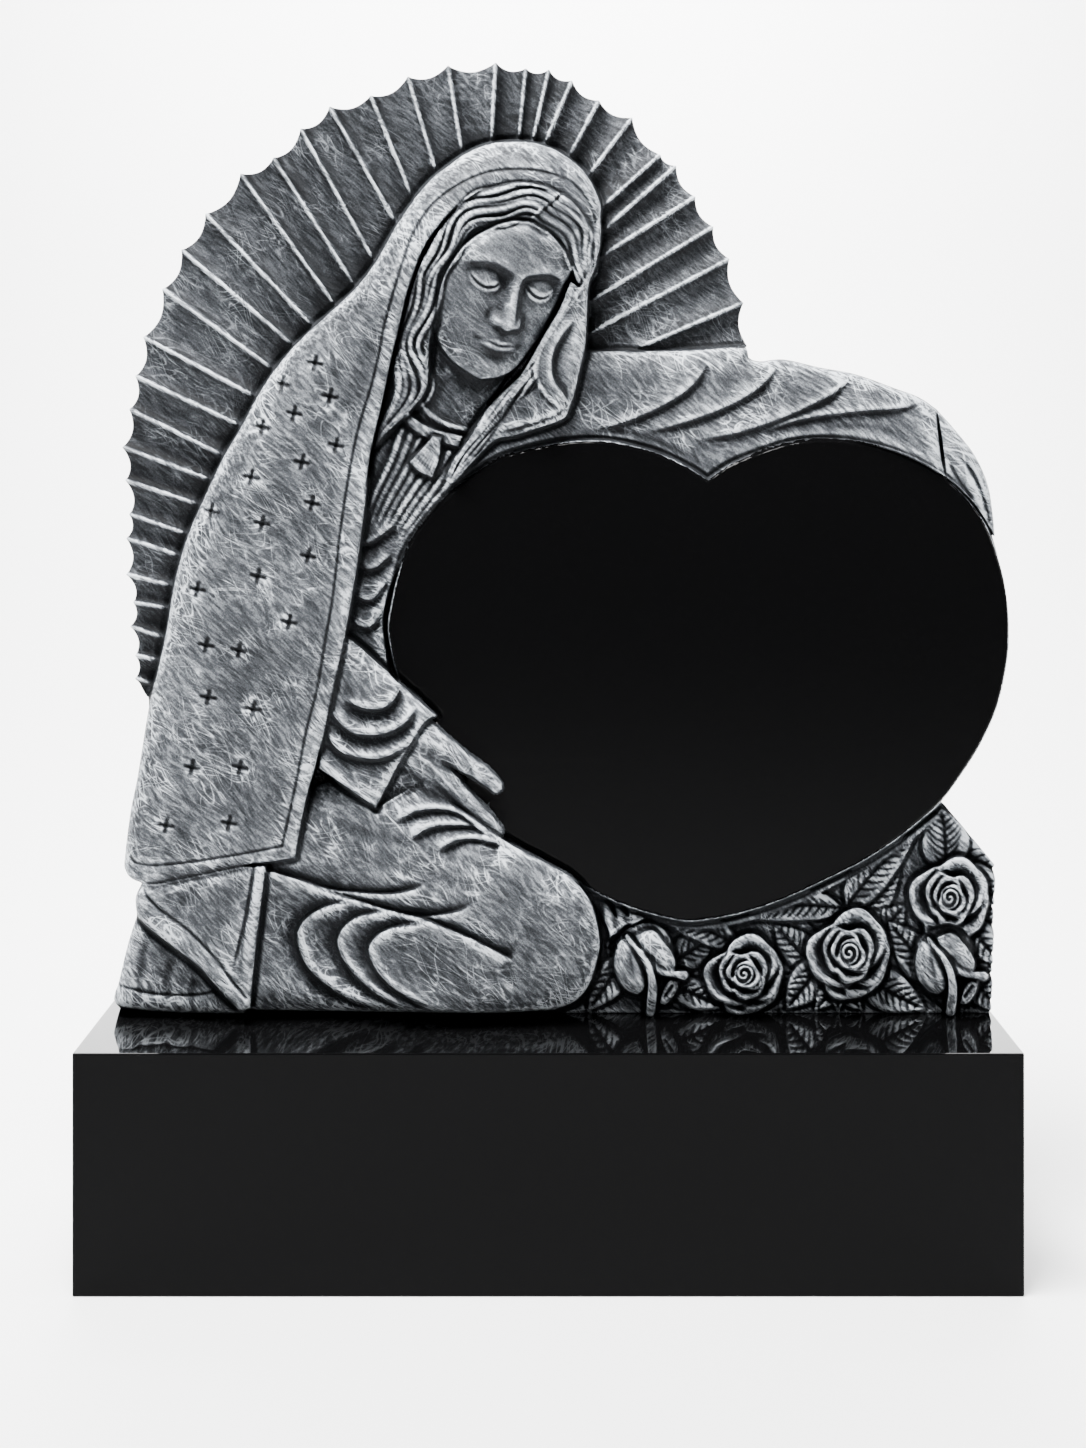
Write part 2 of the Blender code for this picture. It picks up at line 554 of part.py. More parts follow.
def drape(sheet):
    """The mantle's lower layers over the heel."""
    form(sheet, [([(140, 884), (136, 912), (126, 946), (116, 985), (112, 999)], 20, 16),
        ([(112, 999), (122, 1007), (150, 1011), (193, 1013), (245, 1014)], 12, 8),
                 ([(245, 1014), (252, 950), (262, 870)], 4, 0),
                 ([(262, 870), (200, 870), (140, 884)], 4, 0)],
         [(150, 920, 34), (140, 990, 34), (200, 990, 42), (230, 940, 42)], edge=3, shadow=3)
    for points in ([(150, 925), (141, 965), (138, 1016)], [(172, 950), (166, 985), (166, 1016)],
        [(198, 972), (192, 992), (192, 1016)]):
        cut_groove(sheet, points, 9, 2.6, 0.3, 0)
    cut_groove(sheet, [(111, 983), (150, 993), (193, 995), (224, 989)], 3, 2.4, 0, 0)
    form(sheet, [([(143, 880), (135, 899), (140, 919), (166, 942), (196, 965), (219, 990),
        (240, 1012)], 9, 7),
                 ([(240, 1012), (250, 1008)], 4, 3), ([(250, 1008), (257, 940), (266, 866)], 5, 5),
                 ([(266, 866), (200, 865), (143, 880)], 4, 0)],
         [(160, 905, 48), (200, 940, 54), (240, 980, 58), (245, 900, 60)], edge=3, shadow=4)
    cut_groove(sheet, [(138, 884), (156, 906), (190, 932), (213, 956), (233, 982), (246, 998)], 3,
        2.8, 0, 0)
    # flat pleat
    cut_groove(sheet, [(254, 866), (246, 915), (232, 974)], 3.4, 2.8, 0, 0.2)
    raise_ridge(sheet, [(262, 866), (255, 905), (243, 985)], 12, 3, 0, 0.3, crisp=0.7)
    cut_groove(sheet, [(200, 880), (184, 900), (170, 925)], 12, 2.0, 0.3, 0.4)


def leaf(sheet, tip, base, bulge, veins=7, lift=3.0, bend=0.0, level=17.0):
    """A pointed leaf with a midrib and slanting veins, its surface lifting to the sides."""
    tip, base = np.array(tip, float), np.array(base, float)
    run = tip - base
    length = np.hypot(*run)
    e = run / length
    n = np.array([-e[1], e[0]])

    def on_rib(s):
        return base + run * s + n * bend * length * math.sin(math.pi * s)

    def side(sign):
        return [base, *(on_rib(s) + n * sign * bulge * w for s,
            w in ((0.14, 0.72), (0.36, 1.0), (0.6, 0.86), (0.82, 0.46))), tip]

    rib = [on_rib(s) for s in (0, 0.25, 0.5, 0.75, 1)]
    where, inset = sheet.inset(outline_of(side(1), side(-1)[::-1]), 12)
    u, v = sheet.places(where)
    off = (u - base[0]) * n[0] + (v - base[1]) * n[1]
    share = np.clip(((u - base[0]) * e[0] + (v - base[1]) * e[1]) / length, 0, 1)
    off = np.abs(off - bend * length * np.sin(np.pi * share))
    ground = level + lift * (0.3 + 1.1 * np.sin(np.clip(off / bulge, 0,
        1) * 2.5)) - 2.2 * (1 - roundness(inset / 3.5))
    below = sheet.height[where] - 2.6 * np.exp(-(((inset + 1.8) / 1.8) ** 2))
    cover = ease((inset + 0.9) / 1.8)
    sheet.height[where] = below + (ground - below) * cover
    cut_groove(sheet, rib, 2.8, 3.2, 0, 0.15)
    for k in range(veins):
        s = 0.06 + 0.78 * k / max(veins - 1, 1)
        width = bulge * math.sin(math.pi * (0.16 + 0.76 * s)) * 0.98
        for sign in (1, -1):
            end = on_rib(s) + e * width * 0.9 + n * sign * width * 0.86
            middle = (on_rib(s) + end) / 2 + n * sign * 0.06 * width - e * 0.1 * width
            cut_groove(sheet, [on_rib(s), middle, end], 2.3, 2.5, 0.05, 0.35, spacing=3)


def rose(sheet, u0, v0, ru, rv, turn=0.0, level=20.0, flip=1):
    """An open rose: petals like shallow dishes, set off to all sides of the middle, round a spiral bud."""
    reach = 1.2 * max(ru, rv)
    where = sheet.window(np.array([(u0 - reach, v0 - reach), (u0 + reach, v0 + reach)]), 0)
    u, v = sheet.places(where)
    x, y = flip * (u - u0) / ru, (v - v0) / rv
    made = sheet.height[where]
    for bearing, out, radius, high in ROSE_PETALS:
        bearing = math.radians(bearing) + turn
        dx, dy = x - out * math.cos(bearing), y - out * math.sin(bearing)
        angle = np.arctan2(dy, dx)
        edge = radius * (1 + 0.05 * np.sin(3 * angle + high) + 0.03 * np.sin(5 * angle + 2 * high))
        share = np.hypot(dx, dy) / edge
        rolled = 4.5 * np.clip((share - 0.88) / 0.12, 0, 1) ** 2
        petal = level + high - 10 + 10 * ease((share - 0.42) / 0.5) - rolled
        gap = (share - 1) * radius * ru
        cover = ease(0.5 - gap / 1.5)
        below = made - 3.4 * np.exp(-(((gap - 2.0) / 2.2) ** 2))
        made = below + (petal - below) * cover
    r = np.hypot(x, y)
    spiral = (r / 0.24) ** 0.9 * 1.7 - flip * (np.arctan2(y, x) - turn) / (2 * math.pi)
    ridge = np.exp(-((((spiral % 1.0) - 0.5) / 0.17) ** 2))
    core = level + 27 + 7.5 * ridge + 3 * np.clip(1 - r / 0.1, 0, 1)
    cover = ease(0.5 - (r - 0.23) * ru / 1.5)
    made = made + (core - made) * cover
    sheet.height[where] = made


def bud(sheet, u0, v0, size=1.0):
    """A half-open bud from the side: two full petals, the folded strip between them and curled tips."""
    def at(points):
        return [(u0 + size * du, v0 + size * dv) for du, dv in points]

    def band(points, shadow=2.0):
        ribbon(sheet, [(u0 + size * du, v0 + size * dv, high, size * half) for du, dv, high,
            half in points], 0.7, shadow)

    def petal(sides, high):
        form(sheet, [(at(points), shoulder * size, sink) for points, shoulder, sink in sides], high,
            1.8, 2.5, spacing=1.5)

    petal([([(-17, -24), (-8, -36), (8, -44), (24, -43), (37, -31), (40, -10), (24, 10), (-10, 4),
        (-17, -24)], 14, 12)],
          [(u0 + 8 * size, v0 - 20 * size, 34)])
    petal([([(3.7, -30.5), (14, -35.4), (23, -35), (31, -26), (39.4, -14.2), (43.5, -5), (42, 6),
        (34, 10), (24, 9)], 12, 13),
           ([(24, 9), (19, -2), (10, -14), (3.7, -30.5)], 5, 2)],
           [(u0 + 24 * size, v0 - 14 * size, 46)])
    petal([([(-5, -31), (-13, -24), (-18, -12), (-18.5, 2), (-14, 15), (-5, 25), (6, 29)], 14, 18),
           ([(6, 29), (13, 22), (14, 10), (10, -4), (3, -19), (-5, -31)], 8, 6)], [(u0 - 3, v0, 43)])
    for points in ([(-10, -15), (-9, 0), (-3, 17)], [(-3, -18), (0, 0), (4, 17)]):
        cut_groove(sheet, at(points), 2.6, 1.0, 0.3, 0.3)
    petal([([(27.2, 38), (31, 23.6), (38, 13), (47.5, 13.5)], 4, 4),
        ([(47.5, 13.5), (44.5, 25.6), (35.3, 38), (27.2, 38)], 5, 5)],
          [(u0 + 36 * size, v0 + 24 * size, 32)])
    cut_groove(sheet, at([(42, 17), (37, 24), (31, 33)]), 3.4, 6, 0.2, 0.2)
    band([(17, -6, 42, 2.0), (23, 2, 43, 2.6), (33, 7.3, 42, 3.0), (43.5, 8.4, 41, 3.6),
        (52, 9.5, 40, 4.8)], 3.0)
    band([(-5, -30, 38, 1.2), (2, -21, 44, 2.2), (11, -9, 48, 3.2), (18, 6, 48, 4.0),
        (20.5, 21, 44, 4.8), (19.5, 36, 37, 5.2), (18, 47, 30, 4.6)], 3.0)


def panel(sheet):
    """The bed of leaves, roses and buds beside the knee."""
    outline = outline_of([(560, 860), (640, 905), (700, 918), (780, 898), (860, 860), (942, 801)],
        [(942, 801), (1000, 868)],
                         [(1000, 868), (996, 1012)], [(996, 1012), (540, 1012)],
                         [(540, 1012), (560, 860)])
    where, inset = sheet.inset(outline, 10)
    cover = ease((inset + 2.8) / 1.6)
    bed = 13 + 2 * roundness((inset + 2) / 5)
    sheet.height[where] = sheet.height[where] * (1 - cover) + bed * cover
    # leaves below, then those above them: tip, base, half width, veins, bend, level
    for tip, base, bulge, veins, bend, level in (
        ((1002, 872), (946, 838), 18, 6, 0.05, 14), ((1004, 940), (952, 898), 20, 7, 0, 14),
        ((1003, 992), (956, 946), 20, 7, 0.05, 14),
        ((972, 1012), (930, 968), 18, 6, 0, 14), ((900, 868), (852, 916), 20, 7, 0.0, 14),
        ((905, 905), (866, 950), 20, 7, 0, 14),
        ((800, 892), (850, 930), 18, 7, 0, 14), ((770, 1010), (815, 958), 20, 7, 0, 14),
        ((775, 925), (812, 965), 18, 6, 0, 14),
        ((716, 935), (672, 962), 18, 6, 0, 14), ((700, 1010), (660, 972), 18, 6, 0, 14),
        ((606, 942), (640, 975), 16, 5, 0, 14),
        ((624, 905), (660, 930), 14, 5, 0, 14), ((905, 1010), (872, 975), 18, 6, 0, 14),
        ((941, 807), (946, 868), 24, 8, 0.03, 18), ((917, 833), (846, 908), 19, 10, -0.05, 19),
        ((742, 919), (842, 908), 16, 11, 0.08, 18), ((660, 921), (738, 946), 15, 9, 0.08, 17),
        ((888, 921), (934, 984), 19, 8, 0.02, 17),
        ((926, 1010), (862, 972), 21, 8, 0.04, 18), ((786, 1010), (824, 962), 19, 7, 0.0, 18),
        ((588, 1011), (626, 958), 17, 7, 0.0, 18),
        ((723, 1008), (672, 984), 15, 6, 0.0, 17), ((1004, 905), (966, 866), 17, 6, 0.04, 18),
        ((1003, 966), (970, 920), 16, 6, 0.04, 18),
        ((999, 1012), (968, 972), 16, 6, 0.0, 17), ((862, 1010), (838, 985), 10, 3, 0, 19),
        ((815, 1010), (838, 985), 10, 3, 0, 19),
        ((838, 1012), (838, 976), 9, 4, 0, 20),
    ):
        leaf(sheet, tip, base, bulge, veins, 3.0, bend, level)
    # the plain margin along the heart
    margin = [(600, 901, 19, 3), (650, 918, 19, 3.4), (697, 926, 19, 3.4), (745, 919, 19, 3.4),
        (800, 899, 19, 3.4), (862, 868, 19, 3.4),
              (900, 845, 19, 3.4), (936, 817, 19, 3)]
    ribbon(sheet, margin, 0.3, 1.5)
    calyx(sheet)
    rose(sheet, 746, 975, 40, 41, -0.12, 20)
    rose(sheet, 853, 952, 42, 46, 0.0, 22)
    rose(sheet, 956, 898, 40, 42, 0.18, 22)
    bud(sheet, 632, 966)
    bud(sheet, 936, 967, 0.97)


def hair_left(sheet):
    """Hair drawn from the parting down the near side of the face to a waved lock."""
    form(sheet, [([(560, 192), (520, 184), (480, 190), (445, 220), (420, 262), (405, 310), (392, 370),
        (372, 450)], 12, 8),
                 ([(372, 450), (384, 437), (408, 413), (426, 390), (429, 365), (430, 342),
                     (436, 322)], 8, 9),
                 ([(436, 322), (438, 296), (445, 274), (458, 253), (471, 239), (492, 227), (514, 220),
                     (536, 221), (556, 219)], 9, 8),
                 ([(556, 219), (560, 192)], 5, 0)],
         [(530, 205, 70), (480, 215, 68), (445, 250, 62), (424, 300, 54), (410, 350, 48),
             (405, 400, 44), (380, 435, 42)], edge=2.5, shadow=4, blur=24)
    crown = [(559, 197), (534, 187), (500, 186), (466, 197), (440, 224), (421, 262), (412, 290)]
    brow = [(556, 215), (536, 217), (511, 217), (488, 225), (466, 239), (452, 258), (440, 290)]
    comb(sheet, crown, brow, 6, 6.4, 4.2, 2.2, 0.03, 0.12)
    outer = [(417, 268), (408, 300), (397, 330), (398, 358), (396, 386), (384, 416), (371, 446)]
    inner = [(444, 274), (436, 300), (428, 322), (420, 345), (427, 372), (424, 398), (382, 438)]
    comb(sheet, outer, inner, 5, 6.0, 4.0, 1.9, 0.08, 0.1, 0.3)


def hair_right(sheet):
    form(sheet, [([(556, 194), (570, 198), (585, 214), (594, 234), (594, 262), (582, 290)], 8, 6),
                 ([(582, 290), (576, 282), (573, 264), (567, 246), (556, 222), (556, 194)], 6, 6)],
         [(565, 210, 60), (580, 250, 53)], edge=2.5, shadow=3)
    comb(sheet, [(561, 198), (578, 206), (590, 224), (593, 246), (590, 272)],
        [(557, 214), (567, 230), (574, 250), (577, 268), (581, 286)],
         4, 5.0, 1.8, 1.3, 0.05, 0.1)
    # the lock that falls past the cheek to the breast
    form(sheet, [([(574, 292), (564, 314), (546, 342), (522, 372), (500, 394), (484, 412), (472, 434),
        (456, 458), (440, 492)], 8, 8),
                 ([(440, 492), (464, 470), (482, 452), (496, 432), (512, 410), (536, 386), (556, 340),
                     (578, 304), (582, 288)], 6, 4),
                 ([(582, 288), (574, 292)], 3, 0)],
         [(572, 304, 50), (545, 350, 48), (500, 410, 48), (470, 450, 48), (445, 485, 44)], edge=3,
         shadow=2, blur=20)
    comb(sheet, [(575, 293), (562, 320), (545, 346), (524, 372), (502, 396), (484, 414), (471, 436),
        (457, 458), (443, 486)],
         [(583, 296), (574, 330), (558, 356), (540, 382), (520, 406), (501, 430), (487, 448),
             (469, 466), (447, 488)],
         5, 5.4, 2.4, 2.6, 0.03, 0.08)


def lapel(sheet):
    """The hood's far side, hanging beside the face to a point."""
    out = [(601, 225), (597, 262), (589, 286), (587, 322), (585, 349), (580, 371), (574, 396),
        (567, 416)]
    low = [(567, 416), (559, 421), (536, 429), (514, 436), (498, 439), (484, 449), (470, 462)]
    face = [(470, 462), (492, 432), (515, 402), (536, 385), (534, 365), (540, 347), (556, 322),
        (572, 298), (586, 278), (594, 262), (601, 225)]
    form(sheet, [(out, 16, 14), (low, 8, 6), (face, 6, 4)],
         [(596, 245, 54), (582, 310, 57), (560, 350, 56), (555, 400, 54), (510, 425, 48),
             (480, 450, 44)], edge=3, shadow=4, blur=24)
    lap_fold(sheet, [(576, 318), (562, 336), (553, 355), (553, 376), (561, 390), (568, 402)], 5, 4,
        10, 9, 0.2, 0.1)
    lap_fold(sheet, [(570, 404), (552, 416), (520, 426), (495, 432)], 4, 3, 9, 6, 0.2, 0.3)
    raise_ridge(sheet, [(594, 266), (581, 288), (567, 308), (550, 332), (539, 352), (536, 370),
        (541, 388), (556, 404), (566, 412)], 6, 3, 0.1, 0.1)


def face_shape(x, y):
    """How far forward the face stands, in mm: x across it and y down from the eye line."""
    def dome(cx, cy, rx, ry, high, power=1.0):
        return high * np.exp(-((((x_side - cx) / rx) ** 2 + ((y - cy) / ry) ** 2) ** power))
    ax = np.abs(x)
    x_side = ax
    half = through(y, HEAD_SIDES)
    z = through(y, HEAD_PROFILE) + 58 * (np.sqrt(np.clip(1 - (ax / half) ** 2.25, 0, 1)) - 1)
    # brows over the sockets
    brow = -20.5 + np.where(ax < 30, 0.016, 0.02) * (ax - 30) ** 2
    z += 2.6 * np.exp(-(((y - brow + 1.0) / np.where(y < brow, 7.0,
        3.6)) ** 2)) * np.exp(-(((ax - 30) / 25) ** 4))
    z -= dome(30, -3, 20, 12.5, 8.5, 1.3) + dome(13, -2, 6.0, 9.5, 4.0)
    # lowered lids over the balls of the eyes
    z += 9.5 * np.clip(1 - ((ax - 30) / 16.5) ** 2 - ((y - 1) / 12.5) ** 2, 0, 1) ** 0.62
    lash = 8.4 - 0.031 * (ax - 30.5) ** 2
    on_lid = np.exp(-(((ax - 30) / 16.0) ** 8))
    z += on_lid * 1.3 * np.exp(-(((y - lash + 1.9) / 2.0) ** 2))
    z -= on_lid * 2.9 * np.exp(-(((y - lash - 0.7) / 1.25) ** 2))
    z += on_lid * 0.5 * np.exp(-(((y - lash - 3.8) / 2.2) ** 2))
    crease = -8.6 + 0.026 * (ax - 30) ** 2
    z -= 2.0 * np.exp(-(((y - crease) / 1.5) ** 2)) * np.exp(-(((ax - 29) / 16.5) ** 6))
    # nose: a straight bridge, a rounded tip and two wings
    bridge = through(y, [(-26, 0), (-14, 1.5), (-4, 4.6), (8, 8.2), (22, 13), (33, 18), (39, 19.5),
        (44, 15), (47.5, 6), (51, 0)])
    across = through(y, [(-26, 10), (-12, 6.6), (0, 5.6), (14, 6.2), (28, 7.6), (37, 8.8), (50, 9.5)])
    z += np.where((y > -26) & (y < 51), bridge, 0) * np.exp(-((ax / across) ** 2.7))
    z += dome(12.3, 38.5, 5.0, 6.2, 7.2, 1.3) - dome(6.4, 47.0, 3.2, 2.2, 4.0)
    z -= dome(18.6, 38, 3.0, 7.0, 1.8)
    # mouth and lips
    z += dome(0, 62, 27, 19, 5.5) - dome(0, 53, 3.4, 5.2, 1.7)
    top = 57.6 + 1.5 * np.exp(-((ax / 3.0) ** 2)) + 5.6 * (ax / 23.5) ** 1.7
    line = 64.0 + 0.9 * np.exp(-((ax / 5.0) ** 2)) - 0.7 * np.exp(-(((ax - 10) / 6.0) ** 2))
    foot = 73.2 - 8.6 * (ax / 23.5) ** 2
    on_lip = np.clip(1 - (ax / 23.0) ** 4, 0, 1)
    up = np.clip((y - top) / np.maximum(line - top, 1.5), 0, 1)
    down = np.clip((foot - y) / np.maximum(foot - line, 1.5), 0, 1)
    z += on_lip * (3.6 * ease(up * 1.5) * (y < line) + 4.8 * ease(down * 1.25) * (y >= line))
    z -= 3.0 * np.exp(-(((y - line) / 1.4) ** 2)) * on_lip**0.5 + dome(24, 64, 3.4, 3.4, 1.6)
    # chin, cheeks and the soft fold beside the mouth
    z += dome(0, 93, 15, 12, 6.0) - dome(0, 79.5, 14, 4.2, 2.4)
    z += dome(38, 24, 17, 18, 3.6) - dome(25, 50, 5.5, 13, 1.5)
    return z


FACE = dict(centre=(517, 286), size=0.98, yaw=0.36, pitch=0.26, roll=0.30, level=78.0, relief=0.62,
    lowest=6.0)


def face(sheet):
    """The head in the round, turned and bowed, pressed to the depth of the relief."""
    size, step = FACE["size"], 0.25
    x, y = np.meshgrid(np.arange(-71, 71.01, step), np.arange(-107, 113.01, step))
    z = face_shape(x, y)
    keep = np.abs(x) < through(y, HEAD_SIDES) - 0.3
    x, y, z = x[keep], y[keep], z[keep]
    yaw, pitch, roll = FACE["yaw"], FACE["pitch"], FACE["roll"]
    x, z = x * math.cos(yaw) + z * math.sin(yaw), z * math.cos(yaw) - x * math.sin(yaw)
    y, z = y * math.cos(pitch) + z * math.sin(pitch), z * math.cos(pitch) - y * math.sin(pitch)
    u = FACE["centre"][0] + size * (x * math.cos(roll) - y * math.sin(roll))
    v = FACE["centre"][1] + size * (x * math.sin(roll) + y * math.cos(roll))
    h = FACE["level"] + FACE["relief"] * size * z
    where = sheet.window(np.array([(u.min(), v.min()), (u.max(), v.max())]), 2)
    rows, cols = where
    shape = (rows.stop - rows.start, cols.stop - cols.start)
    column = np.rint((u - sheet.u[cols.start]) / sheet.step).astype(int)
    row = np.rint((v - sheet.v[rows.start]) / sheet.step).astype(int)
    held = (column >= 0) & (column < shape[1]) & (row >= 0) & (row < shape[0])
    column, row, h = column[held], row[held], h[held]
    nearest = np.full(shape, -1e3)
    np.maximum.at(nearest, (row, column), h)
    # the mean of what shows in each cell, so the form stays smooth
    shown = h > nearest[row, column] - 1.2 * sheet.step
    total, count = np.zeros(shape), np.zeros(shape)
    np.add.at(total, (row[shown], column[shown]), h[shown])
    np.add.at(count, (row[shown], column[shown]), 1)
    mask = (count > 0).astype(float)
    made = np.maximum(total / np.maximum(count, 1), FACE["lowest"]) * mask
    for _ in range(max(1, round(1.5 / sheet.step))):
        made = soften(made) / np.maximum(soften(mask), 1e-3) * mask
    here = sheet.height[where]
    sheet.height[where] = here + (made - here) * ease(soften(soften(mask)) * 1.6 - 0.6) * mask


def through(y, points):
    """A smooth curve through (level, value) points, read at the levels y."""
    curve = smooth_curve(points, 1.5)
    return np.interp(y, curve[:, 0], curve[:, 1])


HEAD_SIDES = [(-108, 36), (-92, 54), (-70, 64), (-45, 69), (-15, 71), (15, 69), (40, 64), (60, 59),
    (78, 51), (90, 42),
              (99, 32), (106, 20), (111, 1)]


HEAD_PROFILE = [(-108, -50), (-92, -31), (-72, -14), (-52, -5), (-34, -1), (-18, 0), (-2, -5),
    (16, -6), (40, -4), (58, -3),
                (76, -6), (90, -3), (101, -8), (110, -22)]


def soften(image):
    padded = np.pad(image, 1, mode="edge")
    rows, cols = image.shape
    kernel = ((0, 0, 1), (0, 1, 2), (0, 2, 1), (1, 0, 2), (1, 1, 4), (1, 2, 2), (2, 0, 1), (2, 1, 2),
        (2, 2, 1))
    return sum(w * padded[i:i + rows, j:j + cols] for i, j, w in kernel) / 16


def comb(sheet, first, second, count, height, wave=0.0, turns=1.0, start=0.05, end=0.12, phase=0.0):
    """Strands of hair side by side between two guide strands, waved together."""
    curves = between(first, second, count, 3.0)
    t = np.linspace(0, 1, len(curves[0]))
    gap = np.hypot(*(curves[-1] - curves[0]).T) / (count - 1)
    raised = np.zeros_like(sheet.height)
    for k, curve in enumerate(curves):
        run = np.gradient(curve, axis=0)
        run /= np.maximum(np.hypot(*run.T), 1e-6)[:, None]
        sway = wave * np.sin(2 * math.pi * (turns * t + phase) + 0.3 * k)
        sway += 0.45 * wave * np.sin(7 * t + 2.1 * k)
        sway *= np.sin(math.pi * t) ** 0.5
        curve = curve + np.column_stack([-run[:, 1], run[:, 0]]) * sway[:, None]
        where, distance, along, _ = sheet.nearest(curve, 0.62 * gap.max() + 1)
        half = np.interp(along, t, np.maximum(0.56 * gap, 1.6)) * (1 + 0.12 * math.sin(2.4 * k + 0.7))
        crown = height * (1 + 0.22 * math.cos(1.9 * k)) * taper(along, start, end)
        raised[where] = np.maximum(raised[where],
            crown * np.clip(1 - (distance / half) ** 2, 0, 1) ** 0.6)
    sheet.height += raised


def ribbon(sheet, stations, dome=0.5, shadow=2.5):
    """A domed band through (u, v, height, half width) stations, laid over what is there."""
    stations = np.array(stations, float)
    plan = smooth_curve(stations[:, :2], 2.0)
    where, distance, along, _ = sheet.nearest(plan, stations[:, 3].max() + 7)
    runs = np.concatenate([[0], np.cumsum(np.hypot(*np.diff(stations[:, :2], axis=0).T))])
    level = np.interp(along, runs / runs[-1], stations[:, 2])
    half = np.interp(along, runs / runs[-1], stations[:, 3])
    top = level + dome * half * np.sqrt(np.clip(1 - (distance / half) ** 2, 0, 1))
    cover = ease((half - distance) / 1.4 + 0.5)
    below = sheet.height[where] - shadow * np.exp(-(((distance - half - 2.2) / 2.0) ** 2))
    sheet.height[where] = below + (top - below) * cover


ROSE_PETALS = [
    (95, 0.38, 0.62, 14), (50, 0.40, 0.60, 15), (8, 0.36, 0.64, 17), (172, 0.33, 0.67, 17),
    (-52, 0.33, 0.66, 20),
    (-165, 0.17, 0.47, 27), (70, 0.22, 0.42, 27), (-25, 0.17, 0.45, 29), (-120, 0.10, 0.37, 31),
    (30, 0.07, 0.33, 32),
]


def calyx(sheet):
    """The left bud's stem and the pointed leaves that hold it."""
    ribbon(sheet, [(562, 856, 20, 2.4), (585, 884, 22, 3.4), (602, 908, 25, 5), (615, 927, 29, 8)],
        0.5, 2)
    for low, side, tip in (((610, 938), (622, 926), (597, 886)), ((619, 930), (633, 921), (612, 896)),
        ((630, 926), (646, 918), (626, 903))):
        form(sheet, [([low, tip], 3.5, 3), ([tip, side], 3.5, 3), ([side, low], 3, 3)],
            [(*low, 36), (*tip, 23)], 1.8, 3, spacing=1.5)
    raise_ridge(sheet, [(606, 950), (611, 936), (621, 927), (634, 922), (648, 919)], 5, 4, 0.1, 0.1)


def carve_tablet(bounds, step):
    sheet = Sheet(*bounds, step)
    rays(sheet)
    shawl(sheet)
    far_hand(sheet)
    torso(sheet)
    dress_folds(sheet)
    neck(sheet)
    face(sheet)
    hair_left(sheet)
    hair_right(sheet)
    lapel(sheet)
    panel(sheet)
    heart(sheet)
    skirt(sheet)
    hand(sheet)
    sleeve(sheet)
    drape(sheet)
    mantle(sheet)
    return sheet


def ray_ground():
    """Y of the ground that the rays are carved in."""
    return BASE_DEPTH / 2 - BACK_MARGIN - SLAB_THICKNESS


def tablet_scale():
    """Metres for each pattern millimetre: the tallest ray stands as high as the tablet."""
    top = max(foot_drop() + (DRAW_POINT[1] - v) * lean_at(RAY_CREST) for (_, v), _ in RAYS)
    return TABLET_HEIGHT / top


def lean_at(height):
    return (DRAW_REACH - height) / DRAWN_AT


def foot_drop():
    return FOOT_LINE - DRAW_POINT[1]


def to_model(u, v, height):
    """The place in the model of points on the pattern sheet, carved this high above the rays' ground."""
    scale, lean = tablet_scale(), lean_at(height)
    x = TABLET_OFFSET + scale * (u - DRAW_POINT[0]) * lean
    y = ray_ground() - RELIEF_DEPTH * height / PATTERN_RELIEF
    z = BASE_HEIGHT + BED_GAP + scale * (foot_drop() - (v - DRAW_POINT[1]) * lean)
    return np.stack(np.broadcast_arrays(x, y, z), axis=-1)


def scalloped_rays():
    """The fan's edge: a hollow scallop from each ray's tip to the next."""
    tips = [np.array(outer, float) for outer, _ in RAYS]
    edge = []
    for a, b in zip(tips, tips[1:]):
        inward = SCALLOP * np.array([(a - b)[1], (b - a)[0]])
        edge.append(a)
        for share, bow in ((0.25, 0.8), (0.5, 1), (0.75, 0.8)):
            edge.append(a + (b - a) * share + inward * bow)
    return np.array([(144, 697), *edge, tips[-1]])


def tablet_edge():
    """The tablet's outline in the model, seen from in front, as (x, z) pairs.

    Each stretch is drawn on the sheet, with the height of the carving where it is cut.
    """
    layers = [(113, 1035), (112, 999), (117, 985), (126, 946), (136, 912), (135, 897), (141, 884)]
    mantle_side = [(134, 880), (126, 872), (123, 862), (129, 815), (137, 775), (148, 708)]
    leaf_side = [(945, 805), (994, 864), (990, 1035)]
    stretches = (
        (30.0, smooth_curve(layers, 12)),
        (25.0, smooth_curve(mantle_side, 16)),
        (RAY_CREST, scalloped_rays()),
        (18.0, smooth_curve(SHAWL_TOP[3:], 12)),
        (26.0, smooth_curve(FAR_HAND_EDGE[1:], 12)),
        (38.0, smooth_curve(HEART_FREE_SIDE, 12)),
        (14.0, np.array(leaf_side, float)),
    )
    points = np.vstack([to_model(curve[:, 0], curve[:, 1], height) for height, curve in stretches])
    points[:, 2] = np.maximum(points[:, 2], BASE_HEIGHT + BED_GAP)
    return points[:, [0, 2]]


def new_collection(name):
    collection = bpy.data.collections.new(name)
    bpy.context.scene.collection.children.link(collection)
    return collection


def new_material(name, color, roughness):
    material = bpy.data.materials.new(name)
    material.use_nodes = True
    shader = material.node_tree.nodes["Principled BSDF"]
    shader.inputs["Base Color"].default_value = (*color, 1)
    shader.inputs["Roughness"].default_value = roughness
    shader.inputs["Metallic"].default_value = 0
    return material


def object_from(bm, name, collection, *materials):
    mesh = bpy.data.meshes.new(name)
    bm.to_mesh(mesh)
    bm.free()
    made = bpy.data.objects.new(name, mesh)
    collection.objects.link(made)
    for material in materials:
        mesh.materials.append(material)
    return made


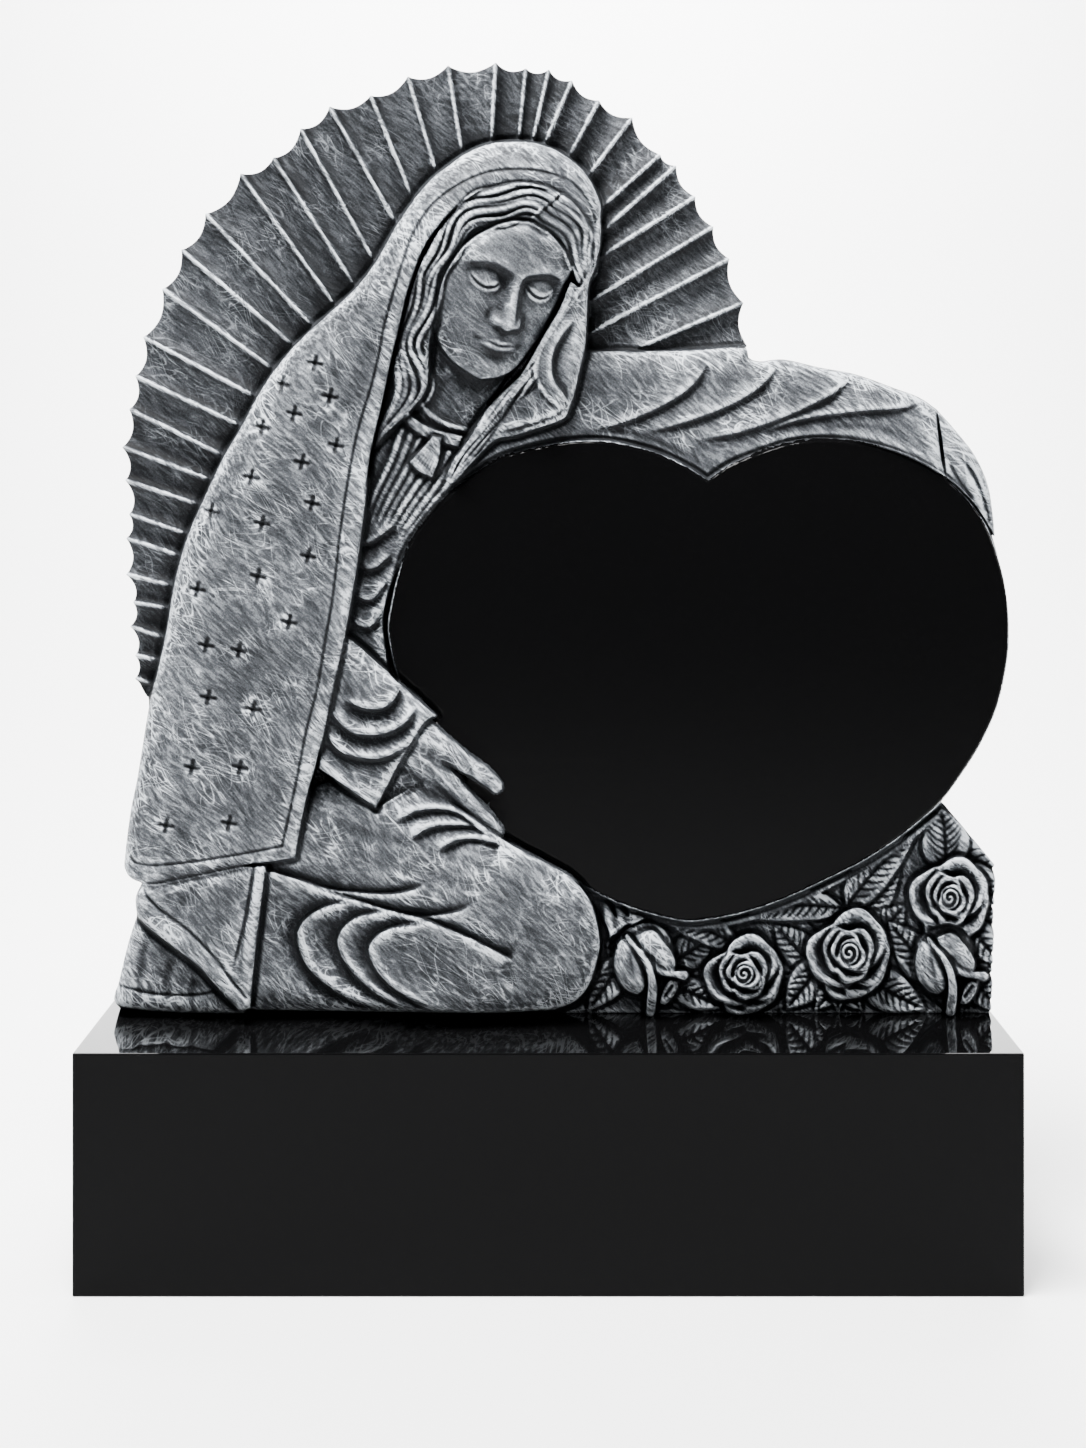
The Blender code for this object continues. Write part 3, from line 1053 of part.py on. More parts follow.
def prism_cutter(name, edge, y_front, y_back, collection):
    """A closed prism over an outline of (x, z) pairs, used to cut the tablet's edge."""
    bm = bmesh.new()
    face = bm.faces.new([bm.verts.new((x, y_front, z)) for x, z in edge])
    pulled = bmesh.ops.extrude_face_region(bm, geom=[face])["geom"]
    moved = [v for v in pulled if isinstance(v, bmesh.types.BMVert)]
    bmesh.ops.translate(bm, verts=moved, vec=(0, y_back - y_front, 0))
    bmesh.ops.recalc_face_normals(bm, faces=bm.faces)
    cutter = object_from(bm, name, collection)
    cutter.hide_render = True
    cutter.display_type = "WIRE"
    return cutter


def carved_surface(collection):
    """The carved front as an open sheet: a grid whose points take the carving's height, then thinned."""
    sheet = carve_tablet(SHEET, SHEET_STEP)
    rows, columns = sheet.height.shape
    bpy.ops.mesh.primitive_grid_add(x_subdivisions=columns - 1, y_subdivisions=rows - 1, size=1)
    grid = bpy.context.object
    grid.name = "carved_front"
    mesh = grid.data
    u, v = np.meshgrid(sheet.u, sheet.v[::-1])
    height = np.round(sheet.height[::-1], 2)
    places = to_model(u, v, height)
    mesh.vertices.foreach_set("co", places.reshape(-1).astype(np.float32))
    beyond = ~near_tablet(sheet)[::-1].reshape(-1)
    bm = bmesh.new()
    bm.from_mesh(mesh)
    bm.verts.ensure_lookup_table()
    bmesh.ops.delete(bm, geom=[bm.verts[i] for i in np.flatnonzero(beyond)], context="VERTS")
    bm.to_mesh(mesh)
    bm.free()
    thin = grid.modifiers.new("thin", "DECIMATE")
    thin.ratio = CARVED_FACES / (2 * len(mesh.polygons))
    thin.use_collapse_triangulate = True
    graph = bpy.context.evaluated_depsgraph_get()
    thinned = bpy.data.meshes.new_from_object(grid.evaluated_get(graph))
    bpy.data.objects.remove(grid)
    return thinned


def near_tablet(sheet):
    """Where the sheet lies inside the tablet's outline or within a few millimetres of it."""
    edge = tablet_edge()
    scale = tablet_scale()
    lean = lean_at(EDGE_CREST)
    u = DRAW_POINT[0] + (edge[:, 0] - TABLET_OFFSET) / (scale * lean)
    v = DRAW_POINT[1] + (foot_drop() - (edge[:, 1] - BASE_HEIGHT - BED_GAP) / scale) / lean
    outline = np.column_stack([u, v])
    near = np.zeros(sheet.height.shape, bool)
    where, inset = sheet.inset(outline, SHEET_MARGIN + 1)
    near[where] = inset > -SHEET_MARGIN
    return near


def make_tablet(parts, cutters, carved):
    y_back = ray_ground() + SLAB_THICKNESS
    bm = bmesh.new()
    bm.from_mesh(carved_surface(parts))
    rim = [edge for edge in bm.edges if edge.is_boundary]
    walls = bmesh.ops.extrude_edge_only(bm, edges=rim)["geom"]
    for vertex in (v for v in walls if isinstance(v, bmesh.types.BMVert)):
        vertex.co.y = y_back
    bmesh.ops.holes_fill(bm, edges=[edge for edge in bm.edges if edge.is_boundary], sides=0)
    bmesh.ops.triangulate(bm, faces=[face for face in bm.faces if len(face.verts) > 4])
    bmesh.ops.recalc_face_normals(bm, faces=bm.faces)
    tablet = object_from(bm, "tablet", parts, carved)
    y_front = ray_ground() - RELIEF_DEPTH
    edge = tablet_edge()
    cutter = prism_cutter("tablet_outline", edge, y_front - CUTTER_OVERRUN, y_back + CUTTER_OVERRUN,
        cutters)
    trim = tablet.modifiers.new("trim to outline", "BOOLEAN")
    trim.operation = "INTERSECT"
    trim.object = cutter
    return tablet


def make_base(parts, polished):
    bm = bmesh.new()
    bmesh.ops.create_cube(bm, size=1)
    bmesh.ops.scale(bm, vec=(BASE_LENGTH, BASE_DEPTH, BASE_HEIGHT), verts=bm.verts)
    base = object_from(bm, "base", parts, polished)
    base.location.z = BASE_HEIGHT / 2
    arris = base.modifiers.new("arris", "BEVEL")
    arris.width = BASE_ARRIS
    arris.segments = 2
    return base


def main():
    for existing in list(bpy.data.objects):
        bpy.data.objects.remove(existing)
    parts = new_collection("headstone")
    cutters = new_collection("headstone cutters")
    carved = new_material("carved granite", (0.115, 0.13, 0.15), 0.6)
    polished = new_material("polished granite", (0.006, 0.006, 0.007), 0.08)
    make_base(parts, polished)
    make_tablet(parts, cutters, carved)


main()
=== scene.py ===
import math

import bmesh
import bpy
import numpy as np
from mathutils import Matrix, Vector


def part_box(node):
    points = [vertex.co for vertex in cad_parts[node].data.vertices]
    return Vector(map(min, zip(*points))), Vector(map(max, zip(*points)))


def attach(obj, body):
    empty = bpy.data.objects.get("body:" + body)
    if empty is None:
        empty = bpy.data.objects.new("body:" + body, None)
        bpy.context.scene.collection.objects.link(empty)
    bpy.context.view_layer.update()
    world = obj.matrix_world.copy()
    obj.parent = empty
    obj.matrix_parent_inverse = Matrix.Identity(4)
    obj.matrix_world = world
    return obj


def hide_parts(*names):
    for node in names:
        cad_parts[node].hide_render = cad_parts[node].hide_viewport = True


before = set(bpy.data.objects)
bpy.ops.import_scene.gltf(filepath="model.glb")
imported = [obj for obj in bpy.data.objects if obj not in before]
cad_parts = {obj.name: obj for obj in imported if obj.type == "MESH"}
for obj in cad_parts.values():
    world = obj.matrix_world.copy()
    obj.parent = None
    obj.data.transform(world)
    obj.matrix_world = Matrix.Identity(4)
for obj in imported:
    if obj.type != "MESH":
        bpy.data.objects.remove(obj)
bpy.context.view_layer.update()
print("frame loaded")

baseLow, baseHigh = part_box("base")
tabletLow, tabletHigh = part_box("tablet")

# how the carved tablet is drawn and cut: metres in the frame, millimetres on the pattern sheet
tabletLook = {
    "sheet": (100.0, 1030.0, 50.0, 1030.0),  # left, right, top and bottom of the sheet
    "patternStep": 0.8,  # between the sheet's points
    "carvedTriangles": 170000,
    "slabThickness": 0.080,  # metres, behind the rays' ground
    "reliefDepth": 0.087,  # metres, in front of it
    "patternRelief": 87.0,  # the same depth on the sheet
    "offset": -0.005,  # metres, of the drawing point from the frame's middle
    "reach": 1835.0,  # from the drawing point to the rays' ground
    "drawnAt": 1800.0,  # from the drawing point to the sheet
    "drawU": 543.0,  # the drawing point on the sheet
    "drawV": 450.0,
    "footDrop": 569.7,  # from the drawing point down to the stone's foot
    "rayCrest": 9.0,  # height of the rays' crests at the edge
    "scallop": 0.13,  # the edge's bow between two rays, as a share of their gap
    "heartFace": 40.0,  # height of the polished face
}


class Sheet:
    # a full-size pattern sheet in millimetres: u to the right, v down, a height at each point

    def __init__(self, left, right, top, bottom, step):
        self.left, self.top, self.step = left, top, step
        self.u = np.arange(left, right + step / 2, step)
        self.v = np.arange(top, bottom + step / 2, step)
        self.height = np.zeros((len(self.v), len(self.u)))

    def window(self, points, margin):
        low = (points.min(axis=0) - margin - (self.left, self.top)) / self.step
        high = (points.max(axis=0) + margin - (self.left, self.top)) / self.step
        cols = slice(max(0, int(low[0])), max(0, min(len(self.u), int(high[0]) + 2)))
        rows = slice(max(0, int(low[1])), max(0, min(len(self.v), int(high[1]) + 2)))
        return rows, cols

    def places(self, where):
        rows, cols = where
        return self.u[cols][None, :], self.v[rows][:, None]

    def inside(self, outline, where):
        # whether each point of the window is inside a closed outline, by the edges to its left
        rows, cols = where
        u, v = self.u[cols], self.v[rows]
        toggles = np.zeros((len(v), len(u) + 1), np.int32)
        for (ua, va), (ub, vb) in zip(outline, np.roll(outline, -1, axis=0)):
            first, last = np.ceil((np.array(sorted((va, vb))) - v[0]) / self.step).astype(int)
            crossed = np.arange(max(first, 0), min(last, len(v)))
            if len(crossed) == 0:
                continue
            at = ua + (v[crossed] - va) * (ub - ua) / (vb - va)
            column = np.clip(np.ceil((at - u[0]) / self.step), 0, len(u)).astype(int)
            np.add.at(toggles, (crossed, column), 1)
        return np.cumsum(toggles, axis=1)[:, :-1] % 2 == 1

    def nearest(self, curve, reach):
        # (window, distance, share along, side) of the nearest point of an open curve
        where = self.window(curve, reach)
        u, v = self.places(where)
        shape = (v.shape[0], u.shape[1])
        distance = np.full(shape, float(reach))
        along = np.zeros(shape)
        side = np.ones(shape)
        lengths = np.hypot(*np.diff(curve, axis=0).T)
        total = max(lengths.sum(), 1e-9)
        travelled = 0.0
        for start, end, length in zip(curve, curve[1:], lengths):
            if length < 1e-9:
                continue
            rows, cols = self.window(np.array([start, end]), reach)
            if rows.stop <= rows.start or cols.stop <= cols.start:
                travelled += length
                continue
            local = (
                slice(rows.start - where[0].start, rows.stop - where[0].start),
                slice(cols.start - where[1].start, cols.stop - where[1].start),
            )
            du = self.u[cols][None, :] - start[0]
            dv = self.v[rows][:, None] - start[1]
            eu, ev = (end - start) / length
            run = np.clip(du * eu + dv * ev, 0, length)
            off = np.hypot(du - run * eu, dv - run * ev)
            closer = off < distance[local]
            distance[local][closer] = off[closer]
            along[local][closer] = ((travelled + run) / total)[closer]
            side[local][closer] = np.where(eu * dv - ev * du >= 0, 1.0, -1.0)[closer]
            travelled += length
        return where, distance, along, side

    def inset(self, outline, reach):
        # (window, distance in from a closed outline), negative outside and limited to the reach
        closed = np.vstack([outline, outline[:1]])
        where, distance, _, _ = self.nearest(closed, reach)
        return where, np.where(self.inside(outline, where), distance, -distance)


def smoothCurve(points, spacing=4.0):
    # points along a smooth curve through a few chosen ones
    p = np.array(points, float)
    if len(p) < 3:
        count = max(2, math.ceil(np.hypot(*(p[-1] - p[0])) / spacing))
        return p[0] + (p[-1] - p[0]) * np.linspace(0, 1, count + 1)[:, None]
    held = np.vstack([2 * p[0] - p[1], p, 2 * p[-1] - p[-2]])
    made = []
    for a, b, c, d in zip(held, held[1:], held[2:], held[3:]):
        count = max(2, math.ceil(np.hypot(*(c - b)) / spacing))
        t = (np.arange(count) / count)[:, None]
        made.append(
            b + 0.5 * t * (c - a + t * (2 * a - 5 * b + 4 * c - d + t * (3 * (b - c) + d - a)))
        )
    return np.vstack([*made, p[-1:]])


def outlineOf(*stretches):
    # a closed outline of smooth stretches, with a corner where one ends and the next starts
    return np.vstack([smoothCurve(stretch) for stretch in stretches])


def ease(x):
    x = np.clip(x, 0.0, 1.0)
    return x * x * (3 - 2 * x)


def roundness(x):
    # a quarter round: 0 at the edge, 1 from x = 1 on
    return np.sqrt(1 - (1 - np.clip(x, 0.0, 1.0)) ** 2)


def spotHeights(u, v, spots, blur=26.0):
    # a smooth ground through a few heights, each given as (u, v, height)
    total = 0.0
    weighed = 0.0
    for su, sv, height in spots:
        weight = ((u - su) ** 2 + (v - sv) ** 2 + blur**2) ** -2.0
        total = total + weight
        weighed = weighed + weight * height
    return weighed / total


def taper(along, start, end):
    # a stroke's strength along its length, growing over start and fading over end
    grow = ease(along / start) if start > 0 else 1.0
    fade = ease((1 - along) / end) if end > 0 else 1.0
    return grow * fade


def cutGroove(sheet, points, width, depth, start=0.1, end=0.1, spacing=3.0):
    curve = smoothCurve(points, spacing)
    where, distance, along, _ = sheet.nearest(curve, width * 1.6)
    strength = taper(along, start, end) * np.exp(-((distance / (0.5 * width)) ** 2))
    sheet.height[where] -= depth * strength * (distance < width * 1.59)


def raiseRidge(sheet, points, width, height, start=0.1, end=0.1, crisp=1.0, spacing=3.0):
    # a raised strand of round section; crisp under 1 makes its sides steeper
    curve = smoothCurve(points, spacing)
    where, distance, along, _ = sheet.nearest(curve, width * 0.75)
    strength = taper(along, start, end)
    half = 0.5 * width * (0.35 + 0.65 * strength)
    section = np.clip(1 - (distance / half) ** 2, 0, 1) ** crisp
    sheet.height[where] += height * strength * section


def lapFold(sheet, points, lift, drop, high=14.0, low=9.0, start=0.25, end=0.25, spacing=3.0,
        roundOver=1.6):
    # a fold of cloth: its crest is on the curve, it swells to the right and falls to the left
    curve = smoothCurve(points, spacing)
    where, distance, along, side = sheet.nearest(curve, 3 * max(high, low))
    strength = taper(along, start, end)
    signed = distance * side
    swell = np.exp(-((np.clip(signed, 0, None) / high) ** 1.4))
    hollow = np.exp(-((np.clip(-signed - roundOver, 0, None) / low) ** 1.3))
    blend = ease((signed + roundOver) / (2 * roundOver))
    fade = ease((3 - distance / max(high, low)) / 0.6)
    sheet.height[where] += strength * (lift * swell * blend - drop * hollow * (1 - blend)) * fade


def between(first, second, count, spacing=6.0):
    # curves that pass smoothly from one guide curve to another, the first and last among them
    a, b = smoothCurve(first, spacing), smoothCurve(second, spacing)
    n = max(len(a), len(b))
    t = np.linspace(0, 1, n)
    a, b = (
        np.column_stack([np.interp(t, np.linspace(0, 1, len(c)), c[:, k]) for k in (0,
            1)]) for c in (a, b)
    )
    return [a + (b - a) * s for s in np.linspace(0, 1, count)]


def swellLimb(sheet, axis, blend=3.0):
    # a tapered round limb through (u, v, height of its axis, radius) stations, blended in
    stations = np.array(axis, float)
    plan = smoothCurve(stations[:, :2], 3.0)
    where, distance, along, _ = sheet.nearest(plan, stations[:, 3].max() + 8)
    runs = np.concatenate([[0], np.cumsum(np.hypot(*np.diff(stations[:, :2], axis=0).T))])
    level = np.interp(along, runs / runs[-1], stations[:, 2])
    radius = np.interp(along, runs / runs[-1], stations[:, 3])
    fall = np.where(distance > radius, 3.0 * (distance - radius), 0)
    body = level + np.sqrt(np.clip(radius**2 - distance**2, 0, None)) - fall
    there = sheet.height[where]
    gap = np.clip(blend - np.abs(body - there), 0, None) / blend
    joined = np.maximum(body, there) + gap**2 * blend * 0.25
    sheet.height[where] = np.where(distance < radius + 7.5, joined, there)


def form(sheet, stretches, spots, edge=3.0, shadow=0.0, blur=26.0, spacing=4.0):
    # lays a form over what is there, each stretch of its outline as (points, shoulder, sink)
    curves = [smoothCurve(points, spacing) for points, _, _ in stretches]
    outline = np.vstack(curves)
    where, inset = sheet.inset(outline, 9.0)
    u, v = sheet.places(where)
    top = spotHeights(u, v, spots, blur)
    drop = np.zeros_like(top)
    for curve, (_, shoulder, sink) in zip(curves, stretches):
        if sink == 0:
            continue
        near, distance, _, _ = sheet.nearest(curve, shoulder)
        r = slice(max(near[0].start, where[0].start), min(near[0].stop, where[0].stop))
        c = slice(max(near[1].start, where[1].start), min(near[1].stop, where[1].stop))
        if r.stop <= r.start or c.stop <= c.start:
            continue
        small = distance[r.start - near[0].start:r.stop - near[0].start,
            c.start - near[1].start:c.stop - near[1].start]
        mine = (slice(r.start - where[0].start, r.stop - where[0].start),
            slice(c.start - where[1].start, c.stop - where[1].start))
        d = sink * (1 - roundness(small / shoulder))
        drop[mine] = np.hypot(drop[mine], d)
    top = top - drop
    below = sheet.height[where]
    if shadow:
        below = below - shadow * np.exp(-(((inset + 2.5) / 3.0) ** 2)) * (inset < 0.5)
    cover = ease((inset + 0.5 * edge) / edge)
    sheet.height[where] = below + (top - below) * cover


rayLines = [
    ((135, 679), (155, 686)), ((136, 655), (160, 660)), ((131, 626), (166, 638)),
    ((134, 602), (170, 608)), ((127, 574), (176, 586)), ((127, 538), (182, 556)),
    ((130, 514), (192, 535)), ((126, 480), (205, 506)), ((123, 447), (213, 480)),
    ((130, 409), (223, 455)), ((136, 376), (238, 424)), ((144, 337), (255, 396)),
    ((163, 289), (275, 370)), ((182, 250), (295, 346)), ((206, 214), (314, 327)),
    ((241, 174), (337, 307)), ((274, 158), (356, 287)), ((301, 129), (374, 260)),
    ((330, 107), (396, 222)), ((371, 96), (412, 196)), ((408, 77), (436, 170)),
    ((448, 66), (462, 150)), ((496, 63), (492, 139)), ((526, 69), (519, 139)),
    ((549, 70), (533, 140)), ((572, 81), (544, 146)), ((599, 101), (570, 155)),
    ((632, 118), (589, 175)), ((660, 155), (603, 206)), ((676, 166), (606, 228)),
    ((695, 197), (603, 255)), ((713, 227), (592, 300)), ((729, 259), (603, 326)),
    ((743, 303), (657, 340)), ((747, 346), (657, 356)),
]


# the flutes between the rays and the beads on them
raysLook = {
    "crest": 11.0,
    "hollow": 0.3,  # depth of a flute as a share of its width
    "deepest": 8.5,
    "beadWidth": 5.0,
    "beadHeight": 2.8,
}


def rays(sheet):
    # a fan of shallow flutes with a bead along each crest
    u, v = sheet.u[None, :], sheet.v[:, None]
    ends = [(np.array(a, float), np.array(b, float)) for a, b in rayLines]
    sides, runs = [], []
    for a, b in ends:
        e = (b - a) / np.hypot(*(b - a))
        sides.append(e[0] * (v - a[1]) - e[1] * (u - a[0]))
        runs.append(e[0] * (u - a[0]) + e[1] * (v - a[1]))
    for left, right, run in zip(sides, sides[1:], runs):
        within = (left <= 0) & (right > 0) & (run > -60) & (run < 190)
        gap = np.clip(right - left, 1e-6, 60)
        share = np.clip(-left / gap, 0, 1)
        depth = np.minimum(raysLook["hollow"] * gap, raysLook["deepest"])
        flute = raysLook["crest"] - depth * np.sin(np.pi * share ** 0.75) ** 0.9
        sheet.height[within] = flute[within]
    for a, b in ends:
        bead = [a + (a - b) * 0.06, b + (b - a) * 0.2]
        raiseRidge(sheet, bead, raysLook["beadWidth"], raysLook["beadHeight"], 0, 0.1, crisp=0.7)


mantleOut = [(601, 222), (600, 200), (585, 172), (562, 153), (541, 144), (518, 141), (492, 143),
    (469, 151), (447, 166), (425, 185), (398, 222), (375, 262), (352, 291), (312, 328), (284, 357),
    (261, 389), (241, 426), (223, 457), (202, 501), (186, 539), (174, 582), (166, 630), (158, 667),
    (148, 708), (137, 775), (129, 815), (123, 866)]
mantleHem = [(123, 866), (130, 878), (150, 884), (180, 879), (234, 868), (295, 858)]
mantleFront = [(295, 858), (306, 801), (322, 743), (336, 678), (346, 630), (357, 568), (365, 507),
    (370, 457), (381, 410), (391, 362), (399, 329), (406, 299), (414, 274), (425, 247), (441, 224),
    (456, 208), (474, 192), (496, 186), (523, 183), (550, 188), (570, 199), (583, 215), (591, 230),
    (594, 246), (594, 262)]
mantleRim = [(594, 262), (600, 248), (601, 222)]
mantleBand = [(597, 224), (588, 201), (576, 186), (563, 177), (541, 171), (518, 169), (492, 171),
    (469, 179), (447, 192), (429, 208), (413, 233), (405, 255), (395, 287), (384, 326), (380, 349),
    (372, 383), (358, 430), (348, 480), (340, 534), (333, 595), (325, 641), (317, 689), (306, 732),
    (296, 783), (282, 846)]
hemBand = [(282, 846), (234, 855), (180, 863), (140, 864), (125, 852)]


def mantle(sheet):
    form(sheet, [(mantleOut, 42, 30), (mantleHem, 12, 8), (mantleFront, 7, 5), (mantleRim, 5, 4)],
        [(518, 162, 68), (450, 192, 70), (585, 190, 62), (405, 262, 66), (330, 350, 62),
        (270, 420, 60), (320, 500, 64), (230, 560, 58), (300, 620, 67), (220, 680, 56),
        (200, 770, 52), (290, 760, 64), (150, 850, 48), (250, 850, 60)], edge=3, shadow=3, blur=40)
    # broad hollows and swells of the hanging cloth
    for points, width, depth in (
        ([(430, 205), (392, 270), (360, 330), (345, 420)], 26, -2.0),
        ([(250, 640), (236, 700), (232, 770), (240, 850)], 40, 3.0),
        ([(205, 540), (196, 620), (180, 700), (170, 770)], 34, 2.5),
        ([(300, 560), (285, 640), (290, 720), (278, 800)], 40, -2.0),
        ([(345, 320), (300, 400), (262, 470), (240, 540)], 50, -2.5),
        ([(180, 700), (168, 780), (160, 870)], 22, -2.0),
    ):
        cutGroove(sheet, points, width, depth, 0.3, 0.2, spacing=8)
    band(sheet)
    for place in mantleCrosses:
        cross(sheet, *place)


mantleCrosses = [(315, 363), (282, 384), (330, 396), (294, 413), (262, 427), (336, 445), (302, 462),
    (251, 477), (312, 503), (262, 523), (211, 511), (308, 556), (258, 576), (197, 589), (289, 622),
    (206, 645), (239, 650), (208, 697), (253, 709), (192, 767), (240, 767), (166, 825), (229, 823)]


crossLook = {"arm": 10.5, "width": 3.8, "depth": 3.6, "tilt": 0.21}


def cross(sheet, u, v):
    c, s = math.cos(crossLook["tilt"]), math.sin(crossLook["tilt"])
    for du, dv in ((c, s), (s, -c)):
        du, dv = crossLook["arm"] * du, crossLook["arm"] * dv
        ends = [(u - du, v - dv), (u + du, v + dv)]
        cutGroove(sheet, ends, crossLook["width"], crossLook["depth"], 0.25, 0.25, spacing=2)


def band(sheet):
    cutGroove(sheet, mantleBand, 3.0, 2.2, 0, 0)
    cutGroove(sheet, hemBand, 3.0, 2.2, 0, 0)


shawlTop = [(584, 350), (625, 351), (690, 350), (746, 347), (749, 357), (760, 361), (784, 359),
    (820, 367), (856, 374), (895, 388), (919, 397), (937, 409)]
farHandEdge = [(937, 409), (958, 432), (976, 456), (988, 483), (993, 510), (996, 540)]
heartFreeSide = [(999, 556), (1006, 590), (1010, 629), (1008, 662), (998, 707), (981, 745),
    (960, 778), (942, 802)]


def shawl(sheet):
    # the cloth over the far arm, drawn along the top of the heart
    top = shawlTop
    cuff = [(937, 409), (940, 441), (943, 462), (948, 480)]
    under = [(948, 480), (915, 462), (850, 444), (786, 447), (708, 484), (640, 450), (558, 446),
        (520, 454), (480, 470)]
    left = [(480, 470), (500, 430), (540, 380), (584, 350)]
    form(sheet, [(top, 26, 16), (cuff, 6, 3), (under, 8, 5), (left, 5, 0)],
        [(600, 370, 30), (700, 380, 32), (800, 390, 36), (900, 410, 44), (560, 430, 30),
        (680, 440, 34), (780, 430, 38), (930, 450, 46), (510, 440, 38)], edge=3, shadow=2, blur=40)
    lapFold(sheet, [(712, 357), (694, 384), (664, 405), (622, 423), (590, 430)], 4, 4, 18, 8, 0.25,
        0.3)
    lapFold(sheet, [(782, 361), (760, 387), (724, 408), (682, 423), (640, 434)], 4, 4, 18, 8, 0.2,
        0.3)
    lapFold(sheet, [(856, 375), (829, 396), (784, 417), (736, 433), (690, 441)], 4.5, 4, 18, 8, 0.2,
        0.3)
    lapFold(sheet, [(925, 400), (901, 408), (850, 412), (799, 420), (760, 433)], 4, 4, 14, 8, 0.2,
        0.3)
    cutGroove(sheet, [(560, 437), (620, 432), (680, 452), (708, 470)], 9, 1.8, 0.3, 0.1)
    cutGroove(sheet, [(812, 427), (880, 428), (930, 455)], 9, 1.8, 0.3, 0.1)


def farHand(sheet):
    outer = farHandEdge
    inner = [(996, 540), (978, 510), (960, 490), (946, 478)]
    back = [(946, 478), (943, 455), (937, 409)]
    form(sheet, [(outer, 13, 14), (inner, 4, 0), (back, 4, 0)], [(950, 440, 38), (970, 470, 42),
        (985, 510, 42)], edge=2.5, shadow=2)
    cutGroove(sheet, [(958, 455), (970, 468), (982, 492), (990, 520)], 4.5, 6, 0.3, 0)
    cutGroove(sheet, [(948, 458), (958, 478), (974, 500)], 4.0, 4, 0.3, 0.1)


def torso(sheet):
    # dress between the mantle's front and the heart
    form(sheet, [([(404, 300), (470, 380), (500, 430), (480, 470), (421, 530), (385, 610),
        (392, 700), (370, 720)], 8, 0), ([(370, 720), (330, 700), (345, 600), (365, 490),
        (385, 400), (404, 300)], 8, 0)], [(450, 360, 22), (430, 420, 34), (400, 470, 38),
        (420, 500, 40), (375, 560, 36), (370, 620, 34), (365, 680, 30), (480, 450, 36)], edge=3,
        blur=30)


def dressFolds(sheet):
    # pleats from the collar and the folds that sag above the sleeve
    fans = between([(403, 424), (392, 458), (372, 500), (360, 535)],
        [(472, 458), (452, 480), (426, 512), (398, 548)], 8)
    for k, curve in enumerate(fans):
        raiseRidge(sheet, curve[::2], 8.5, 4.6 if k % 2 == 0 else 3.2, 0.05, 0.4)
    for points in ([(352, 556), (362, 567), (375, 568), (392, 554)],
            [(347, 586), (360, 598), (374, 598), (388, 580)], [(350, 620), (362, 627), (374, 624),
            (388, 602)], [(350, 536), (368, 543), (396, 524)]):
        lapFold(sheet, points[::-1], 4.5, 5.5, 10, 7, 0.15, 0.15, roundOver=2.2)


def neck(sheet):
    form(sheet, [([(428, 330), (424, 370), (412, 412)], 14, 12),
        ([(412, 412), (432, 432), (462, 440)], 3, 0), ([(462, 440), (484, 410), (505, 380),
        (530, 340), (490, 300), (428, 330)], 14, 10)], [(450, 380, 33), (470, 400, 35),
        (440, 350, 30), (500, 350, 34)], edge=3, blur=30)
    # collar ring and the flat band below it
    raiseRidge(sheet, [(418, 396), (426, 410), (446, 424), (470, 430)], 7, 4.5, 0.05, 0.05)
    form(sheet, [([(407, 411), (420, 422), (437, 430), (463, 436)], 2.5, 1.5),
        ([(463, 436), (459, 447)], 2, 1), ([(459, 447), (432, 440), (414, 430), (403, 418)], 2.5,
        1.5), ([(403, 418), (407, 411)], 2, 1)], [(430, 430, 42)], edge=2, shadow=1.5)
    tassel(sheet)


def tassel(sheet):
    # the tassel on the breast
    form(sheet, [([(433, 436), (422, 448), (410, 462)], 3, 3), ([(410, 462), (418, 471),
        (432, 477)], 2, 1.5), ([(432, 477), (439, 460), (441, 438)], 3, 3),
        ([(441, 438), (433, 436)], 2, 2)], [(425, 460, 50), (435, 442, 48)], edge=2, shadow=3)
    for curve in between([(434, 441), (424, 451), (414, 463)], [(439, 442), (437, 458), (431, 474)],
            7):
        cutGroove(sheet, curve, 1.7, 1.6, 0.2, 0.1, spacing=2)


heartOutline = [
    [(707.5, 479), (687, 466), (662, 454), (637, 446), (612, 441), (587, 440), (558, 442),
        (521, 450), (492, 461), (455, 488), (421, 525), (401, 562), (389, 612), (388, 637),
        (397, 678), (418, 740), (455, 792), (504, 838), (546, 863), (579, 884), (612, 901),
        (645, 913), (678, 921), (696, 922)],
    [(696, 922), (737, 915), (778, 902), (819, 884), (861, 863), (894, 842), (923, 819), (942, 802),
        (960, 778), (981, 745), (998, 707), (1008, 662), (1010, 629), (1008, 596), (1002, 567),
        (989, 529), (973, 504), (948, 479), (919, 461), (886, 448), (848, 440), (815, 439),
        (786, 443), (753, 454), (728, 465), (707.5, 479)],
]


def heart(sheet):
    # the flat polished heart, standing a little proud of the cloth around it, with a small bevel
    outline = outlineOf(*heartOutline)
    where, inset = sheet.inset(outline, 10)
    rim = tabletLook["heartFace"] - 3.0 * (1 - np.clip(inset / 3.0, 0, 1))
    here = sheet.height[where]
    trough = 3.5 * np.exp(-(((inset + 2.6) / 2.0) ** 2)) * ease((here - 14) / 10)
    cover = ease((inset + 0.8) / 1.6)
    sheet.height[where] = (here - trough) * (1 - cover) + rim * cover


